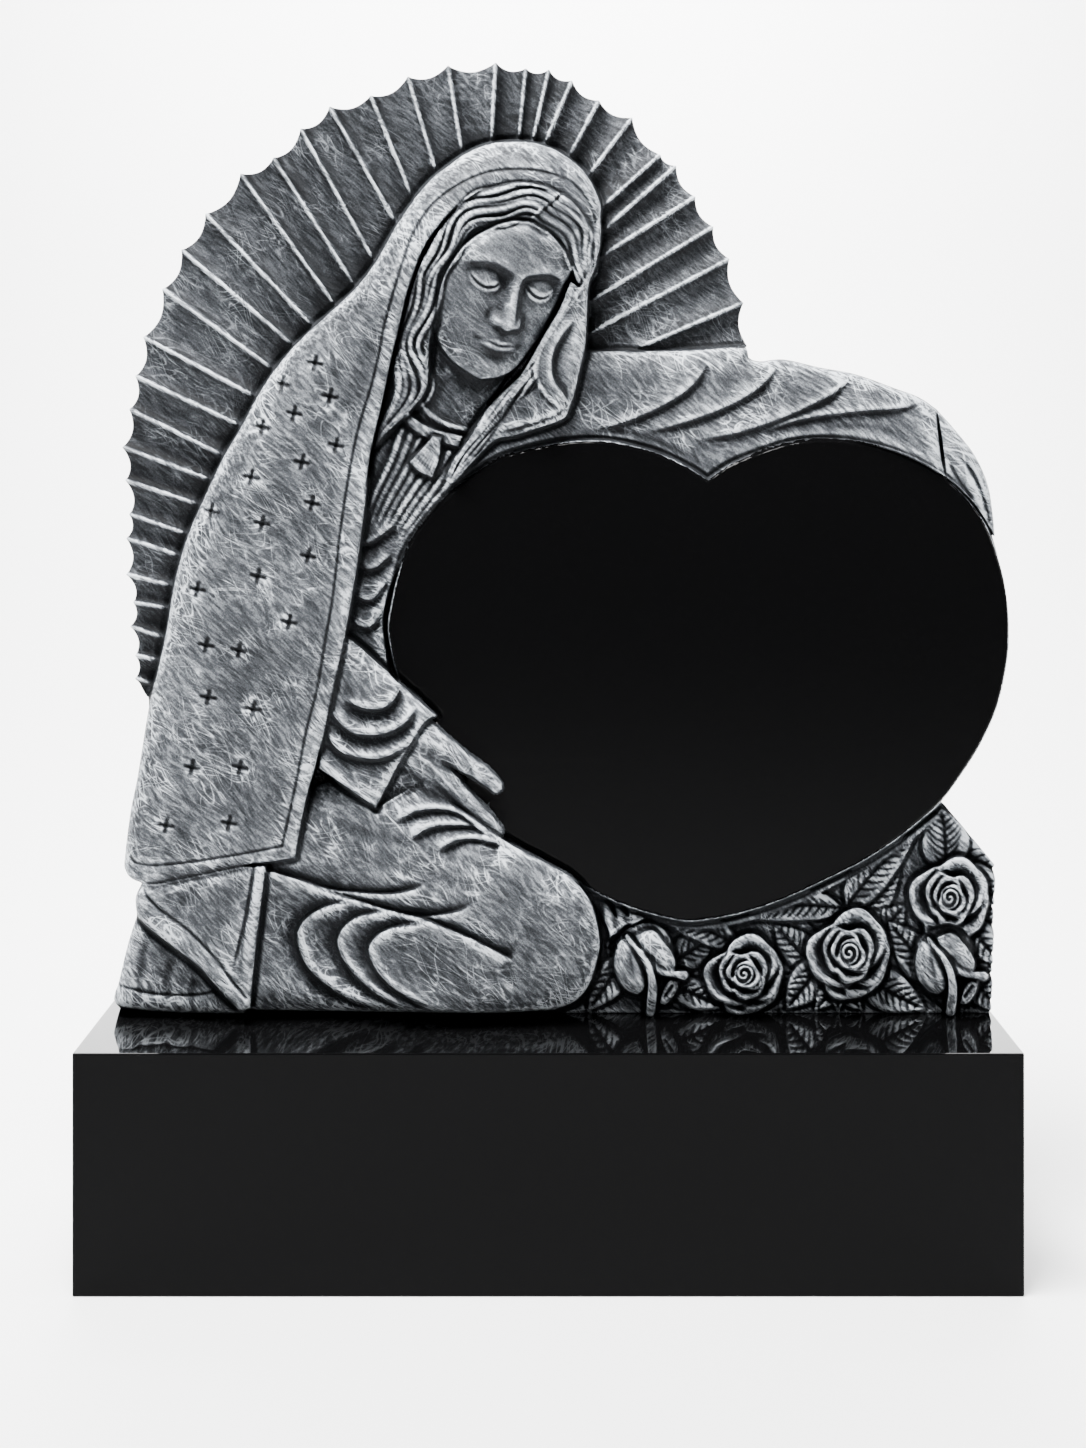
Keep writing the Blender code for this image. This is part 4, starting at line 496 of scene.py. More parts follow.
def sleeve(sheet):
    # forearm sleeve of the near arm with its open cuff
    # rear of the cuff
    form(sheet, [([(395, 770), (403, 766), (418, 783)], 3, 2), ([(418, 783), (376, 808)], 3, 2),
        ([(376, 808), (380, 780), (395, 770)], 3, 1)], [(400, 785, 46)], edge=2.5, shadow=3)
    top = [(336, 634), (350, 638), (376, 661), (399, 682), (418, 699), (436, 716)]
    cuff = [(436, 716), (424, 722), (410, 744), (392, 776), (376, 808)]
    lower = [(376, 808), (350, 790), (318, 768)]
    back = [(318, 768), (325, 700), (336, 634)]
    form(sheet, [(top, 20, 17), (cuff, 3.5, 3), (lower, 4, 3), (back, 4, 0)],
        [(350, 660, 58), (380, 690, 64), (415, 715, 66), (345, 720, 58), (385, 745, 62),
        (345, 770, 54), (375, 795, 58)], edge=3, shadow=4, blur=30)
    # sagging folds hung from the forearm
    lapFold(sheet, [(398, 684), (396, 697), (383, 708), (362, 708), (342, 698)], 6.0, 9.0, 11, 9,
        0.2, 0.25, roundOver=2.6)
    lapFold(sheet, [(417, 704), (408, 720), (389, 732), (364, 735), (345, 728), (328, 710)], 6.0,
        9.0, 11, 10, 0.2, 0.12, roundOver=2.6)
    lapFold(sheet, [(418, 736), (406, 746), (382, 758), (356, 757), (338, 750), (325, 734)], 6.0,
        8.0, 11, 10, 0.25, 0.1, roundOver=2.6)
    raiseRidge(sheet, [(434, 718), (424, 724), (411, 745), (393, 777), (378, 806)], 5.5, 2.2, 0.05,
        0.05)
    raiseRidge(sheet, [(376, 805), (350, 788), (322, 767)], 5.0, 1.8, 0.05, 0.2)


def hand(sheet):
    # the hand laid on the heart, its first finger raised a little from the second
    swellLimb(sheet, [(398, 764, 34, 16), (420, 778, 34, 14), (438, 792, 36, 10), (452, 806, 36, 7),
        (462, 816, 34, 4.5)], 5)
    swellLimb(sheet, [(396, 742, 36, 22), (420, 760, 37, 19), (440, 774, 39, 13.5),
        (456, 789, 42, 9.2), (470, 803, 43, 8.0), (486, 819, 43, 7.4), (498, 832, 40, 6.2)], 6)
    swellLimb(sheet, [(400, 722, 38, 22), (424, 738, 40, 18.5), (444, 750, 42, 13.5),
        (462, 761, 43, 10.2), (478, 771, 43, 8.8), (490, 780, 42, 7.8), (496, 786, 41, 7.0)], 6)
    # the web between the fingers, the tendons, knuckles and a nail
    cutGroove(sheet, [(446, 764), (455, 770), (464, 779)], 3.6, 5.0, 0.5, 0)
    raiseRidge(sheet, [(418, 738), (436, 746), (454, 756)], 7, 1.5, 0.4, 0.4)
    raiseRidge(sheet, [(414, 752), (434, 768), (450, 782)], 7, 1.5, 0.4, 0.4)
    for u, v in ((472, 766), (466, 799)):
        cutGroove(sheet, [(u - 4, v + 5), (u + 1, v + 1), (u + 3, v - 5)], 2.2, 0.8, 0.3, 0.3,
            spacing=2)
    nail = [(488, 781), (491, 786), (496, 788), (499, 785), (497, 780), (492, 778), (488, 781)]
    cutGroove(sheet, nail, 1.7, 1.3, 0, 0, spacing=1.5)


def skirt(sheet):
    # the kneeling leg under the skirt, with deep folds behind the knee and round the shin
    upper = [(300, 790), (380, 770), (450, 800), (503, 838), (548, 863), (574, 879), (592, 904),
        (600, 939), (597, 962), (590, 984), (576, 1001), (556, 1010)]
    foot = [(556, 1010), (500, 1013), (432, 1013), (300, 1011), (240, 1010)]
    back = [(240, 1010), (240, 900), (300, 790)]
    form(sheet, [(upper, 46, 30), (foot, 26, 18), (back, 4, 0)],
        [(330, 830, 50), (420, 830, 62), (500, 870, 73), (560, 930, 73), (480, 940, 77),
        (400, 900, 68), (320, 880, 55), (290, 930, 44), (300, 980, 46), (420, 970, 70),
        (540, 980, 68)], edge=3, shadow=4, blur=36)
    # the hollow under the thigh, and the folds that run from it
    lapFold(sheet, [(262, 868), (300, 880), (332, 889), (382, 894), (413, 890), (432, 879)], 4.0, 8,
        16, 9, 0.02, 0.22, roundOver=2.2)
    lapFold(sheet, [(296, 884), (330, 893), (365, 903), (415, 915), (456, 912), (480, 899)], 3.0, 8,
        14, 8, 0.3, 0.2, roundOver=2.2)
    lapFold(sheet, [(392, 912), (425, 920), (465, 936), (498, 952), (514, 961)], 3.0, 9, 14, 6, 0.3,
        0.08, roundOver=2.2)
    # the folds that sweep round the shin to the foot
    for points in ([(420, 1016), (365, 1005), (330, 988), (306, 965), (297, 939), (303, 921),
            (325, 907), (362, 901)], [(455, 1016), (405, 1009), (365, 985), (343, 960), (338, 936),
            (358, 917), (402, 911)], [(490, 1016), (435, 1010), (398, 992), (375, 969), (369, 946),
            (389, 929), (436, 923)]):
        lapFold(sheet, points, 6, 11, 15, 12, 0.1, 0.2, roundOver=3.4)
    for points in ([(482, 829), (452, 811), (418, 811), (390, 825)],
            [(490, 835), (468, 826), (432, 827), (406, 842)], [(504, 845), (478, 839), (458, 840),
            (434, 852)]):
        lapFold(sheet, points, 4, 7, 12, 8, 0.12, 0.25, roundOver=2.4)
    for points in ([(430, 845), (480, 865), (540, 900)], [(330, 860), (400, 868), (470, 885),
            (520, 915)], [(320, 820), (370, 835), (430, 850)]):
        cutGroove(sheet, points, 12, 1.6, 0.4, 0.4)


def drape(sheet):
    # the mantle's lower layers over the heel
    form(sheet, [([(140, 884), (136, 912), (126, 946), (116, 985), (112, 999)], 20, 16),
        ([(112, 999), (122, 1007), (150, 1011), (193, 1013), (245, 1014)], 12, 8),
        ([(245, 1014), (252, 950), (262, 870)], 4, 0), ([(262, 870), (200, 870), (140, 884)], 4,
        0)], [(150, 920, 34), (140, 990, 34), (200, 990, 42), (230, 940, 42)], edge=3, shadow=3)
    for points in ([(150, 925), (141, 965), (138, 1016)], [(172, 950), (166, 985), (166, 1016)],
            [(198, 972), (192, 992), (192, 1016)]):
        cutGroove(sheet, points, 9, 2.6, 0.3, 0)
    cutGroove(sheet, [(111, 983), (150, 993), (193, 995), (224, 989)], 3, 2.4, 0, 0)
    form(sheet, [([(143, 880), (135, 899), (140, 919), (166, 942), (196, 965), (219, 990),
        (240, 1012)], 9, 7), ([(240, 1012), (250, 1008)], 4, 3), ([(250, 1008), (257, 940),
        (266, 866)], 5, 5), ([(266, 866), (200, 865), (143, 880)], 4, 0)],
        [(160, 905, 48), (200, 940, 54), (240, 980, 58), (245, 900, 60)], edge=3, shadow=4)
    cutGroove(sheet, [(138, 884), (156, 906), (190, 932), (213, 956), (233, 982), (246, 998)], 3,
        2.8, 0, 0)
    # flat pleat
    cutGroove(sheet, [(254, 866), (246, 915), (232, 974)], 3.4, 2.8, 0, 0.2)
    raiseRidge(sheet, [(262, 866), (255, 905), (243, 985)], 12, 3, 0, 0.3, crisp=0.7)
    cutGroove(sheet, [(200, 880), (184, 900), (170, 925)], 12, 2.0, 0.3, 0.4)


def leaf(sheet, tip, base, bulge, veins=7, lift=3.0, bend=0.0, level=17.0):
    # a pointed leaf with a midrib and slanting veins, its surface lifting to the sides
    tip, base = np.array(tip, float), np.array(base, float)
    run = tip - base
    length = np.hypot(*run)
    e = run / length
    n = np.array([-e[1], e[0]])

    def onRib(s):
        return base + run * s + n * bend * length * math.sin(math.pi * s)

    def side(sign):
        widths = ((0.14, 0.72), (0.36, 1.0), (0.6, 0.86), (0.82, 0.46))
        return [base, *(onRib(s) + n * sign * bulge * w for s, w in widths), tip]

    rib = [onRib(s) for s in (0, 0.25, 0.5, 0.75, 1)]
    where, inset = sheet.inset(outlineOf(side(1), side(-1)[::-1]), 12)
    u, v = sheet.places(where)
    off = (u - base[0]) * n[0] + (v - base[1]) * n[1]
    share = np.clip(((u - base[0]) * e[0] + (v - base[1]) * e[1]) / length, 0, 1)
    off = np.abs(off - bend * length * np.sin(np.pi * share))
    ground = level + lift * (0.3 + 1.1 * np.sin(np.clip(off / bulge, 0,
        1) * 2.5)) - 2.2 * (1 - roundness(inset / 3.5))
    below = sheet.height[where] - 2.6 * np.exp(-(((inset + 1.8) / 1.8) ** 2))
    cover = ease((inset + 0.9) / 1.8)
    sheet.height[where] = below + (ground - below) * cover
    cutGroove(sheet, rib, 2.8, 3.2, 0, 0.15)
    for k in range(veins):
        s = 0.06 + 0.78 * k / max(veins - 1, 1)
        width = bulge * math.sin(math.pi * (0.16 + 0.76 * s)) * 0.98
        for sign in (1, -1):
            end = onRib(s) + e * width * 0.9 + n * sign * width * 0.86
            middle = (onRib(s) + end) / 2 + n * sign * 0.06 * width - e * 0.1 * width
            cutGroove(sheet, [onRib(s), middle, end], 2.3, 2.5, 0.05, 0.35, spacing=3)


def rose(sheet, u0, v0, ru, rv, turn=0.0, level=20.0, flip=1):
    # an open rose: petals like shallow dishes on all sides of a spiral bud
    reach = 1.2 * max(ru, rv)
    where = sheet.window(np.array([(u0 - reach, v0 - reach), (u0 + reach, v0 + reach)]), 0)
    u, v = sheet.places(where)
    x, y = flip * (u - u0) / ru, (v - v0) / rv
    made = sheet.height[where]
    for bearing, out, radius, high in rosePetals:
        bearing = math.radians(bearing) + turn
        dx, dy = x - out * math.cos(bearing), y - out * math.sin(bearing)
        angle = np.arctan2(dy, dx)
        edge = radius * (1 + 0.05 * np.sin(3 * angle + high) + 0.03 * np.sin(5 * angle + 2 * high))
        share = np.hypot(dx, dy) / edge
        rolled = 4.5 * np.clip((share - 0.88) / 0.12, 0, 1) ** 2
        petal = level + high - 10 + 10 * ease((share - 0.42) / 0.5) - rolled
        gap = (share - 1) * radius * ru
        cover = ease(0.5 - gap / 1.5)
        below = made - 3.4 * np.exp(-(((gap - 2.0) / 2.2) ** 2))
        made = below + (petal - below) * cover
    r = np.hypot(x, y)
    spiral = (r / 0.24) ** 0.9 * 1.7 - flip * (np.arctan2(y, x) - turn) / (2 * math.pi)
    ridge = np.exp(-((((spiral % 1.0) - 0.5) / 0.17) ** 2))
    core = level + 27 + 7.5 * ridge + 3 * np.clip(1 - r / 0.1, 0, 1)
    cover = ease(0.5 - (r - 0.23) * ru / 1.5)
    made = made + (core - made) * cover
    sheet.height[where] = made


def bud(sheet, u0, v0, size=1.0):
    # a half-open bud from the side: two full petals, the folded strip between them and curled tips
    def at(points):
        return [(u0 + size * du, v0 + size * dv) for du, dv in points]

    def band(points, shadow=2.0):
        placed = []
        for du, dv, high, half in points:
            placed.append((u0 + size * du, v0 + size * dv, high, size * half))
        ribbon(sheet, placed, 0.7, shadow)

    def petal(sides, high):
        form(sheet, [(at(points), shoulder * size, sink) for points, shoulder, sink in sides], high,
            1.8, 2.5, spacing=1.5)

    petal([([(-17, -24), (-8, -36), (8, -44), (24, -43), (37, -31), (40, -10), (24, 10), (-10, 4),
        (-17, -24)], 14, 12)], [(u0 + 8 * size, v0 - 20 * size, 34)])
    petal([([(3.7, -30.5), (14, -35.4), (23, -35), (31, -26), (39.4, -14.2), (43.5, -5), (42, 6),
        (34, 10), (24, 9)], 12, 13), ([(24, 9), (19, -2), (10, -14), (3.7, -30.5)], 5, 2)],
        [(u0 + 24 * size, v0 - 14 * size, 46)])
    petal([([(-5, -31), (-13, -24), (-18, -12), (-18.5, 2), (-14, 15), (-5, 25), (6, 29)], 14, 18),
        ([(6, 29), (13, 22), (14, 10), (10, -4), (3, -19), (-5, -31)], 8, 6)], [(u0 - 3, v0, 43)])
    for points in ([(-10, -15), (-9, 0), (-3, 17)], [(-3, -18), (0, 0), (4, 17)]):
        cutGroove(sheet, at(points), 2.6, 1.0, 0.3, 0.3)
    petal([([(27.2, 38), (31, 23.6), (38, 13), (47.5, 13.5)], 4, 4),
        ([(47.5, 13.5), (44.5, 25.6), (35.3, 38), (27.2, 38)], 5, 5)],
        [(u0 + 36 * size, v0 + 24 * size, 32)])
    cutGroove(sheet, at([(42, 17), (37, 24), (31, 33)]), 3.4, 6, 0.2, 0.2)
    band([(17, -6, 42, 2.0), (23, 2, 43, 2.6), (33, 7.3, 42, 3.0), (43.5, 8.4, 41, 3.6),
        (52, 9.5, 40, 4.8)], 3.0)
    band([(-5, -30, 38, 1.2), (2, -21, 44, 2.2), (11, -9, 48, 3.2), (18, 6, 48, 4.0),
        (20.5, 21, 44, 4.8), (19.5, 36, 37, 5.2), (18, 47, 30, 4.6)], 3.0)


def panel(sheet):
    # the bed of leaves, roses and buds beside the knee
    outline = outlineOf([(560, 860), (640, 905), (700, 918), (780, 898), (860, 860), (942, 801)],
        [(942, 801), (1000, 868)], [(1000, 868), (996, 1012)], [(996, 1012), (540, 1012)],
        [(540, 1012), (560, 860)])
    where, inset = sheet.inset(outline, 10)
    cover = ease((inset + 2.8) / 1.6)
    bed = 13 + 2 * roundness((inset + 2) / 5)
    sheet.height[where] = sheet.height[where] * (1 - cover) + bed * cover
    # leaves below, then those above them: tip, base, half width, veins, bend, level
    for tip, base, bulge, veins, bend, level in (
        ((1002, 872), (946, 838), 18, 6, 0.05, 14), ((1004, 940), (952, 898), 20, 7, 0, 14),
        ((1003, 992), (956, 946), 20, 7, 0.05, 14), ((972, 1012), (930, 968), 18, 6, 0, 14),
        ((900, 868), (852, 916), 20, 7, 0.0, 14), ((905, 905), (866, 950), 20, 7, 0, 14),
        ((800, 892), (850, 930), 18, 7, 0, 14), ((770, 1010), (815, 958), 20, 7, 0, 14),
        ((775, 925), (812, 965), 18, 6, 0, 14), ((716, 935), (672, 962), 18, 6, 0, 14),
        ((700, 1010), (660, 972), 18, 6, 0, 14), ((606, 942), (640, 975), 16, 5, 0, 14),
        ((624, 905), (660, 930), 14, 5, 0, 14), ((905, 1010), (872, 975), 18, 6, 0, 14),
        ((941, 807), (946, 868), 24, 8, 0.03, 18), ((917, 833), (846, 908), 19, 10, -0.05, 19),
        ((742, 919), (842, 908), 16, 11, 0.08, 18), ((660, 921), (738, 946), 15, 9, 0.08, 17),
        ((888, 921), (934, 984), 19, 8, 0.02, 17), ((926, 1010), (862, 972), 21, 8, 0.04, 18),
        ((786, 1010), (824, 962), 19, 7, 0.0, 18), ((588, 1011), (626, 958), 17, 7, 0.0, 18),
        ((723, 1008), (672, 984), 15, 6, 0.0, 17), ((1004, 905), (966, 866), 17, 6, 0.04, 18),
        ((1003, 966), (970, 920), 16, 6, 0.04, 18), ((999, 1012), (968, 972), 16, 6, 0.0, 17),
        ((862, 1010), (838, 985), 10, 3, 0, 19), ((815, 1010), (838, 985), 10, 3, 0, 19),
        ((838, 1012), (838, 976), 9, 4, 0, 20),
    ):
        leaf(sheet, tip, base, bulge, veins, 3.0, bend, level)
    # the plain margin along the heart
    margin = [(600, 901, 19, 3), (650, 918, 19, 3.4), (697, 926, 19, 3.4), (745, 919, 19, 3.4),
        (800, 899, 19, 3.4), (862, 868, 19, 3.4), (900, 845, 19, 3.4), (936, 817, 19, 3)]
    ribbon(sheet, margin, 0.3, 1.5)
    calyx(sheet)
    rose(sheet, 744, 974, 40, 42, -0.12, 20)
    rose(sheet, 849, 953, 42, 48, 0.0, 22)
    rose(sheet, 950, 898, 40, 46, 0.18, 22)
    bud(sheet, 632, 966)
    bud(sheet, 933, 967, 0.97)


def hairLeft(sheet):
    # hair drawn from the parting down the near side of the face to a waved lock
    form(sheet, [([(560, 192), (520, 184), (480, 190), (445, 220), (420, 262), (405, 310),
        (392, 370), (372, 450)], 12, 8), ([(372, 450), (384, 437), (408, 413), (426, 390),
        (429, 365), (430, 342), (436, 322)], 8, 9), ([(436, 322), (438, 296), (445, 274),
        (458, 253), (471, 239), (492, 227), (512, 221), (529, 221)], 9, 8),
        ([(529, 221), (546, 232)], 5, 0), ([(546, 232), (572, 203), (560, 192)], 1.5, 0)],
        [(530, 205, 70), (480, 215, 68), (445, 250, 62), (424, 300, 54), (410, 350, 48),
        (405, 400, 44), (380, 435, 42)], edge=2.5, shadow=4, blur=24)
    crown = [(562, 198), (534, 187), (500, 186), (466, 197), (440, 224), (421, 262), (412, 290)]
    brow = [(534, 220), (521, 216), (507, 218), (488, 225), (466, 239), (452, 258), (440, 290)]
    comb(sheet, crown, brow, 6, 7.6, 4.6, 2.2, 0, 0.12)
    outer = [(417, 268), (408, 300), (397, 330), (398, 358), (396, 386), (384, 416), (371, 446)]
    inner = [(444, 274), (436, 300), (428, 322), (420, 345), (427, 372), (424, 398), (382, 438)]
    comb(sheet, outer, inner, 5, 6.0, 4.0, 1.9, 0.08, 0.1, 0.3)


def hairRight(sheet):
    form(sheet, [([(561, 193), (570, 198), (585, 214), (594, 234), (594, 262), (582, 290)], 8, 6),
        ([(582, 290), (576, 282), (571, 266), (563, 248), (549, 232), (530, 220)], 6, 6),
        ([(530, 220), (561, 193)], 0.5, 0)], [(545, 206, 71), (572, 214, 64), (582, 250, 54)],
        edge=2.5, shadow=0)
    comb(sheet, [(563, 198), (578, 205), (589, 222), (592, 246), (589, 272)],
        [(535, 219), (553, 232), (567, 250), (574, 268), (580, 286)], 5, 6.0, 2.2, 1.6, 0, 0.1)
    # the lock that falls past the cheek to the breast
    form(sheet, [([(570, 280), (559, 308), (541, 338), (522, 372), (500, 394), (484, 412),
        (472, 434), (456, 458), (440, 492)], 8, 8), ([(440, 492), (464, 470), (482, 452),
        (496, 432), (512, 410), (536, 386), (556, 340), (578, 304), (582, 288)], 6, 4),
        ([(582, 288), (570, 280)], 3, 0)], [(570, 300, 60), (545, 345, 56), (500, 410, 48),
        (470, 450, 48), (445, 485, 44)], edge=3, shadow=2, blur=20)
    comb(sheet, [(571, 284), (558, 314), (541, 342), (524, 372), (502, 396), (484, 414), (471, 436),
        (457, 458), (443, 486)], [(583, 296), (574, 330), (558, 356), (540, 382), (520, 406),
        (501, 430), (487, 448), (469, 466), (447, 488)], 5, 5.4, 2.4, 2.6, 0.03, 0.08)


def lapel(sheet):
    # the hood's far side, hanging beside the face to a point
    out = [(601, 225), (597, 262), (589, 286), (587, 322), (585, 349), (580, 371), (574, 396),
        (567, 416)]
    low = [(567, 416), (559, 421), (536, 429), (514, 436), (498, 439), (484, 449), (470, 462)]
    face = [(470, 462), (492, 432), (515, 402), (536, 385), (534, 365), (540, 347), (556, 322),
        (572, 298), (586, 278), (594, 262), (601, 225)]
    form(sheet, [(out, 16, 14), (low, 8, 6), (face, 6, 4)], [(596, 245, 54), (582, 310, 57),
        (560, 350, 56), (555, 400, 54), (510, 425, 48), (480, 450, 44)], edge=3, shadow=4, blur=24)
    lapFold(sheet, [(576, 318), (562, 336), (553, 355), (553, 376), (561, 390), (568, 402)], 5, 4,
        10, 9, 0.2, 0.1)
    lapFold(sheet, [(570, 404), (552, 416), (520, 426), (495, 432)], 4, 3, 9, 6, 0.2, 0.3)
    raiseRidge(sheet, [(594, 266), (581, 288), (567, 308), (550, 332), (539, 352), (536, 370),
        (541, 388), (556, 404), (566, 412)], 6, 3, 0.1, 0.1)


def faceShape(x, y):
    # how far forward the face stands, in mm: x across it and y down from the eye line
    def dome(cx, cy, rx, ry, high, power=1.0):
        return high * np.exp(-((((xSide - cx) / rx) ** 2 + ((y - cy) / ry) ** 2) ** power))
    ax = np.abs(x)
    xSide = ax
    half = through(y, headSides)
    z = through(y, headProfile) + 58 * (np.sqrt(np.clip(1 - (ax / half) ** 2.25, 0, 1)) - 1)
    # brows over the sockets
    brow = -20.5 + np.where(ax < 30, 0.016, 0.02) * (ax - 30) ** 2
    z += 3.6 * np.exp(-(((y - brow + 1.0) / np.where(y < brow, 7.0,
        3.0)) ** 2)) * np.exp(-(((ax - 30) / 25) ** 4))
    z -= dome(30, -3, 20, 12.5, 11.5, 1.3) + dome(13, -2, 6.0, 9.5, 5.0)
    # lowered lids over the balls of the eyes
    z += 12.5 * np.clip(1 - ((ax - 30) / 18.0) ** 2 - ((y - 1) / 12.5) ** 2, 0,
        1) ** np.where(y < 1, 1.15, 0.62)
    lash = 8.4 - 0.031 * (ax - 30.5) ** 2
    onLid = np.exp(-(((ax - 30) / 16.0) ** 8))
    z += onLid * 2.2 * np.exp(-(((y - lash + 1.9) / 2.0) ** 2))
    z -= onLid * 8.5 * np.exp(-(((y - lash - 1.0) / 1.9) ** 2))
    z += onLid * 2.5 * np.exp(-(((y - lash - 5.0) / 3.0) ** 2))
    crease = -8.6 + 0.026 * (ax - 30) ** 2
    z -= 1.8 * np.exp(-(((y - crease) / 1.8) ** 2)) * np.exp(-(((ax - 29) / 16.5) ** 6))
    # nose: a straight bridge, a rounded tip and two wings
    bridge = through(y, [(-26, 0), (-14, 1.5), (-4, 4.6), (8, 8.2), (22, 13), (33, 18), (39, 19.5),
        (44, 15), (47.5, 6), (51, 0)])
    across = through(y, [(-26, 10), (-12, 6.6), (0, 5.6), (14, 6.2), (28, 7.6), (37, 8.8),
        (50, 9.5)])
    z += np.where((y > -26) & (y < 51), bridge, 0) * np.exp(-((ax / across) ** 2.7))
    z += dome(12.3, 38.5, 5.0, 6.2, 9.0, 1.3) - dome(6.6, 46.5, 3.8, 2.8, 8.0)
    z -= dome(18.6, 38, 3.0, 7.0, 4.0)
    # mouth and lips
    z += dome(0, 62, 27, 19, 5.5) - dome(0, 53, 3.4, 5.2, 1.7)
    top = 57.6 + 1.5 * np.exp(-((ax / 3.0) ** 2)) + 5.6 * (ax / 23.5) ** 1.7
    line = 64.0 + 0.9 * np.exp(-((ax / 5.0) ** 2)) - 0.7 * np.exp(-(((ax - 10) / 6.0) ** 2))
    foot = 73.2 - 8.6 * (ax / 23.5) ** 2
    onLip = np.clip(1 - (ax / 23.0) ** 4, 0, 1)
    up = np.clip((y - top) / np.maximum(line - top, 1.5), 0, 1)
    down = np.clip((foot - y) / np.maximum(foot - line, 1.5), 0, 1)
    z += onLip * (5.4 * ease(up * 1.5) * (y < line) + 6.8 * ease(down * 1.25) * (y >= line))
    z -= 6.5 * np.exp(-(((y - line) / 1.9) ** 2)) * onLip**0.5 + dome(24, 64, 3.4, 3.4, 2.4)
    # chin, cheeks and the soft fold beside the mouth
    z += dome(0, 93, 15, 12, 6.5) - dome(0, 79.5, 14, 4.2, 3.6)
    z += dome(38, 24, 17, 18, 3.6) - dome(25, 50, 5.5, 13, 1.5)
    return z


faceLook = dict(centre=(517, 286), size=0.98, yaw=0.36, pitch=0.26, roll=0.30, level=78.0,
    relief=0.68, lowest=6.0)


def face(sheet):
    # the head in the round, turned and bowed, pressed to the depth of the relief
    size, step = faceLook["size"], 0.25
    x, y = np.meshgrid(np.arange(-71, 71.01, step), np.arange(-107, 111, step))
    z = faceShape(x, y)
    keep = np.abs(x) < through(y, headSides) - 0.3
    x, y, z = x[keep], y[keep], z[keep]
    yaw, pitch, roll = faceLook["yaw"], faceLook["pitch"], faceLook["roll"]
    x, z = x * math.cos(yaw) + z * math.sin(yaw), z * math.cos(yaw) - x * math.sin(yaw)
    y, z = y * math.cos(pitch) + z * math.sin(pitch), z * math.cos(pitch) - y * math.sin(pitch)
    u = faceLook["centre"][0] + size * (x * math.cos(roll) - y * math.sin(roll))
    v = faceLook["centre"][1] + size * (x * math.sin(roll) + y * math.cos(roll))
    h = faceLook["level"] + faceLook["relief"] * size * z
    where = sheet.window(np.array([(u.min(), v.min()), (u.max(), v.max())]), 2)
    rows, cols = where
    shape = (rows.stop - rows.start, cols.stop - cols.start)
    column = np.rint((u - sheet.u[cols.start]) / sheet.step).astype(int)
    row = np.rint((v - sheet.v[rows.start]) / sheet.step).astype(int)
    held = (column >= 0) & (column < shape[1]) & (row >= 0) & (row < shape[0])
    column, row, h = column[held], row[held], h[held]
    nearest = np.full(shape, -1e3)
    np.maximum.at(nearest, (row, column), h)
    # the mean of what shows in each cell, so the form stays smooth
    shown = h > nearest[row, column] - 1.2 * sheet.step
    total, count = np.zeros(shape), np.zeros(shape)
    np.add.at(total, (row[shown], column[shown]), h[shown])
    np.add.at(count, (row[shown], column[shown]), 1)
    mask = (count > 0).astype(float)
    made = np.maximum(total / np.maximum(count, 1), faceLook["lowest"]) * mask
    for _ in range(max(1, round(0.7 / sheet.step))):
        made = soften(made) / np.maximum(soften(mask), 1e-3) * mask
    here = sheet.height[where]
    sheet.height[where] = here + (made - here) * ease(soften(soften(mask)) * 1.6 - 0.6) * mask


def through(y, points):
    # a smooth curve through (level, value) points, read at the levels y
    curve = smoothCurve(points, 1.5)
    return np.interp(y, curve[:, 0], curve[:, 1])


# (level, half width) and (level, forward stand) stations of the head
headSides = [(-108, 36), (-92, 54), (-70, 64), (-45, 69), (-15, 71), (15, 69), (40, 64), (60, 59),
    (78, 52), (90, 44), (99, 36), (105, 28), (109, 19), (111, 9)]
headProfile = [(-108, -50), (-92, -31), (-72, -14), (-52, -5), (-34, -1), (-18, 0), (-2, -5),
    (16, -6), (40, -4), (58, -3), (76, -6), (90, -3), (101, -8), (110, -22)]


def soften(image):
    padded = np.pad(image, 1, mode="edge")
    rows, cols = image.shape
    kernel = ((0, 0, 1), (0, 1, 2), (0, 2, 1), (1, 0, 2), (1, 1, 4), (1, 2, 2), (2, 0, 1),
        (2, 1, 2), (2, 2, 1))
    return sum(w * padded[i:i + rows, j:j + cols] for i, j, w in kernel) / 16


def comb(sheet, first, second, count, height, wave=0.0, turns=1.0, start=0.05, end=0.12, phase=0.0):
    # strands of hair side by side between two guide strands, waved together
    curves = between(first, second, count, 3.0)
    t = np.linspace(0, 1, len(curves[0]))
    gap = np.hypot(*(curves[-1] - curves[0]).T) / (count - 1)
    raised = np.zeros_like(sheet.height)
    for k, curve in enumerate(curves):
        run = np.gradient(curve, axis=0)
        run /= np.maximum(np.hypot(*run.T), 1e-6)[:, None]
        sway = wave * np.sin(2 * math.pi * (turns * t + phase) + 0.3 * k)
        sway += 0.45 * wave * np.sin(7 * t + 2.1 * k)
        sway *= np.sin(math.pi * t) ** 0.5
        curve = curve + np.column_stack([-run[:, 1], run[:, 0]]) * sway[:, None]
        where, distance, along, _ = sheet.nearest(curve, 0.62 * gap.max() + 1)
        half = np.interp(along, t,
            np.maximum(0.56 * gap, 1.6)) * (1 + 0.12 * math.sin(2.4 * k + 0.7))
        crown = height * (1 + 0.22 * math.cos(1.9 * k)) * taper(along, start, end)
        raised[where] = np.maximum(raised[where], crown * np.clip(1 - (distance / half) ** 2, 0,
            1) ** 0.6)
    sheet.height += raised


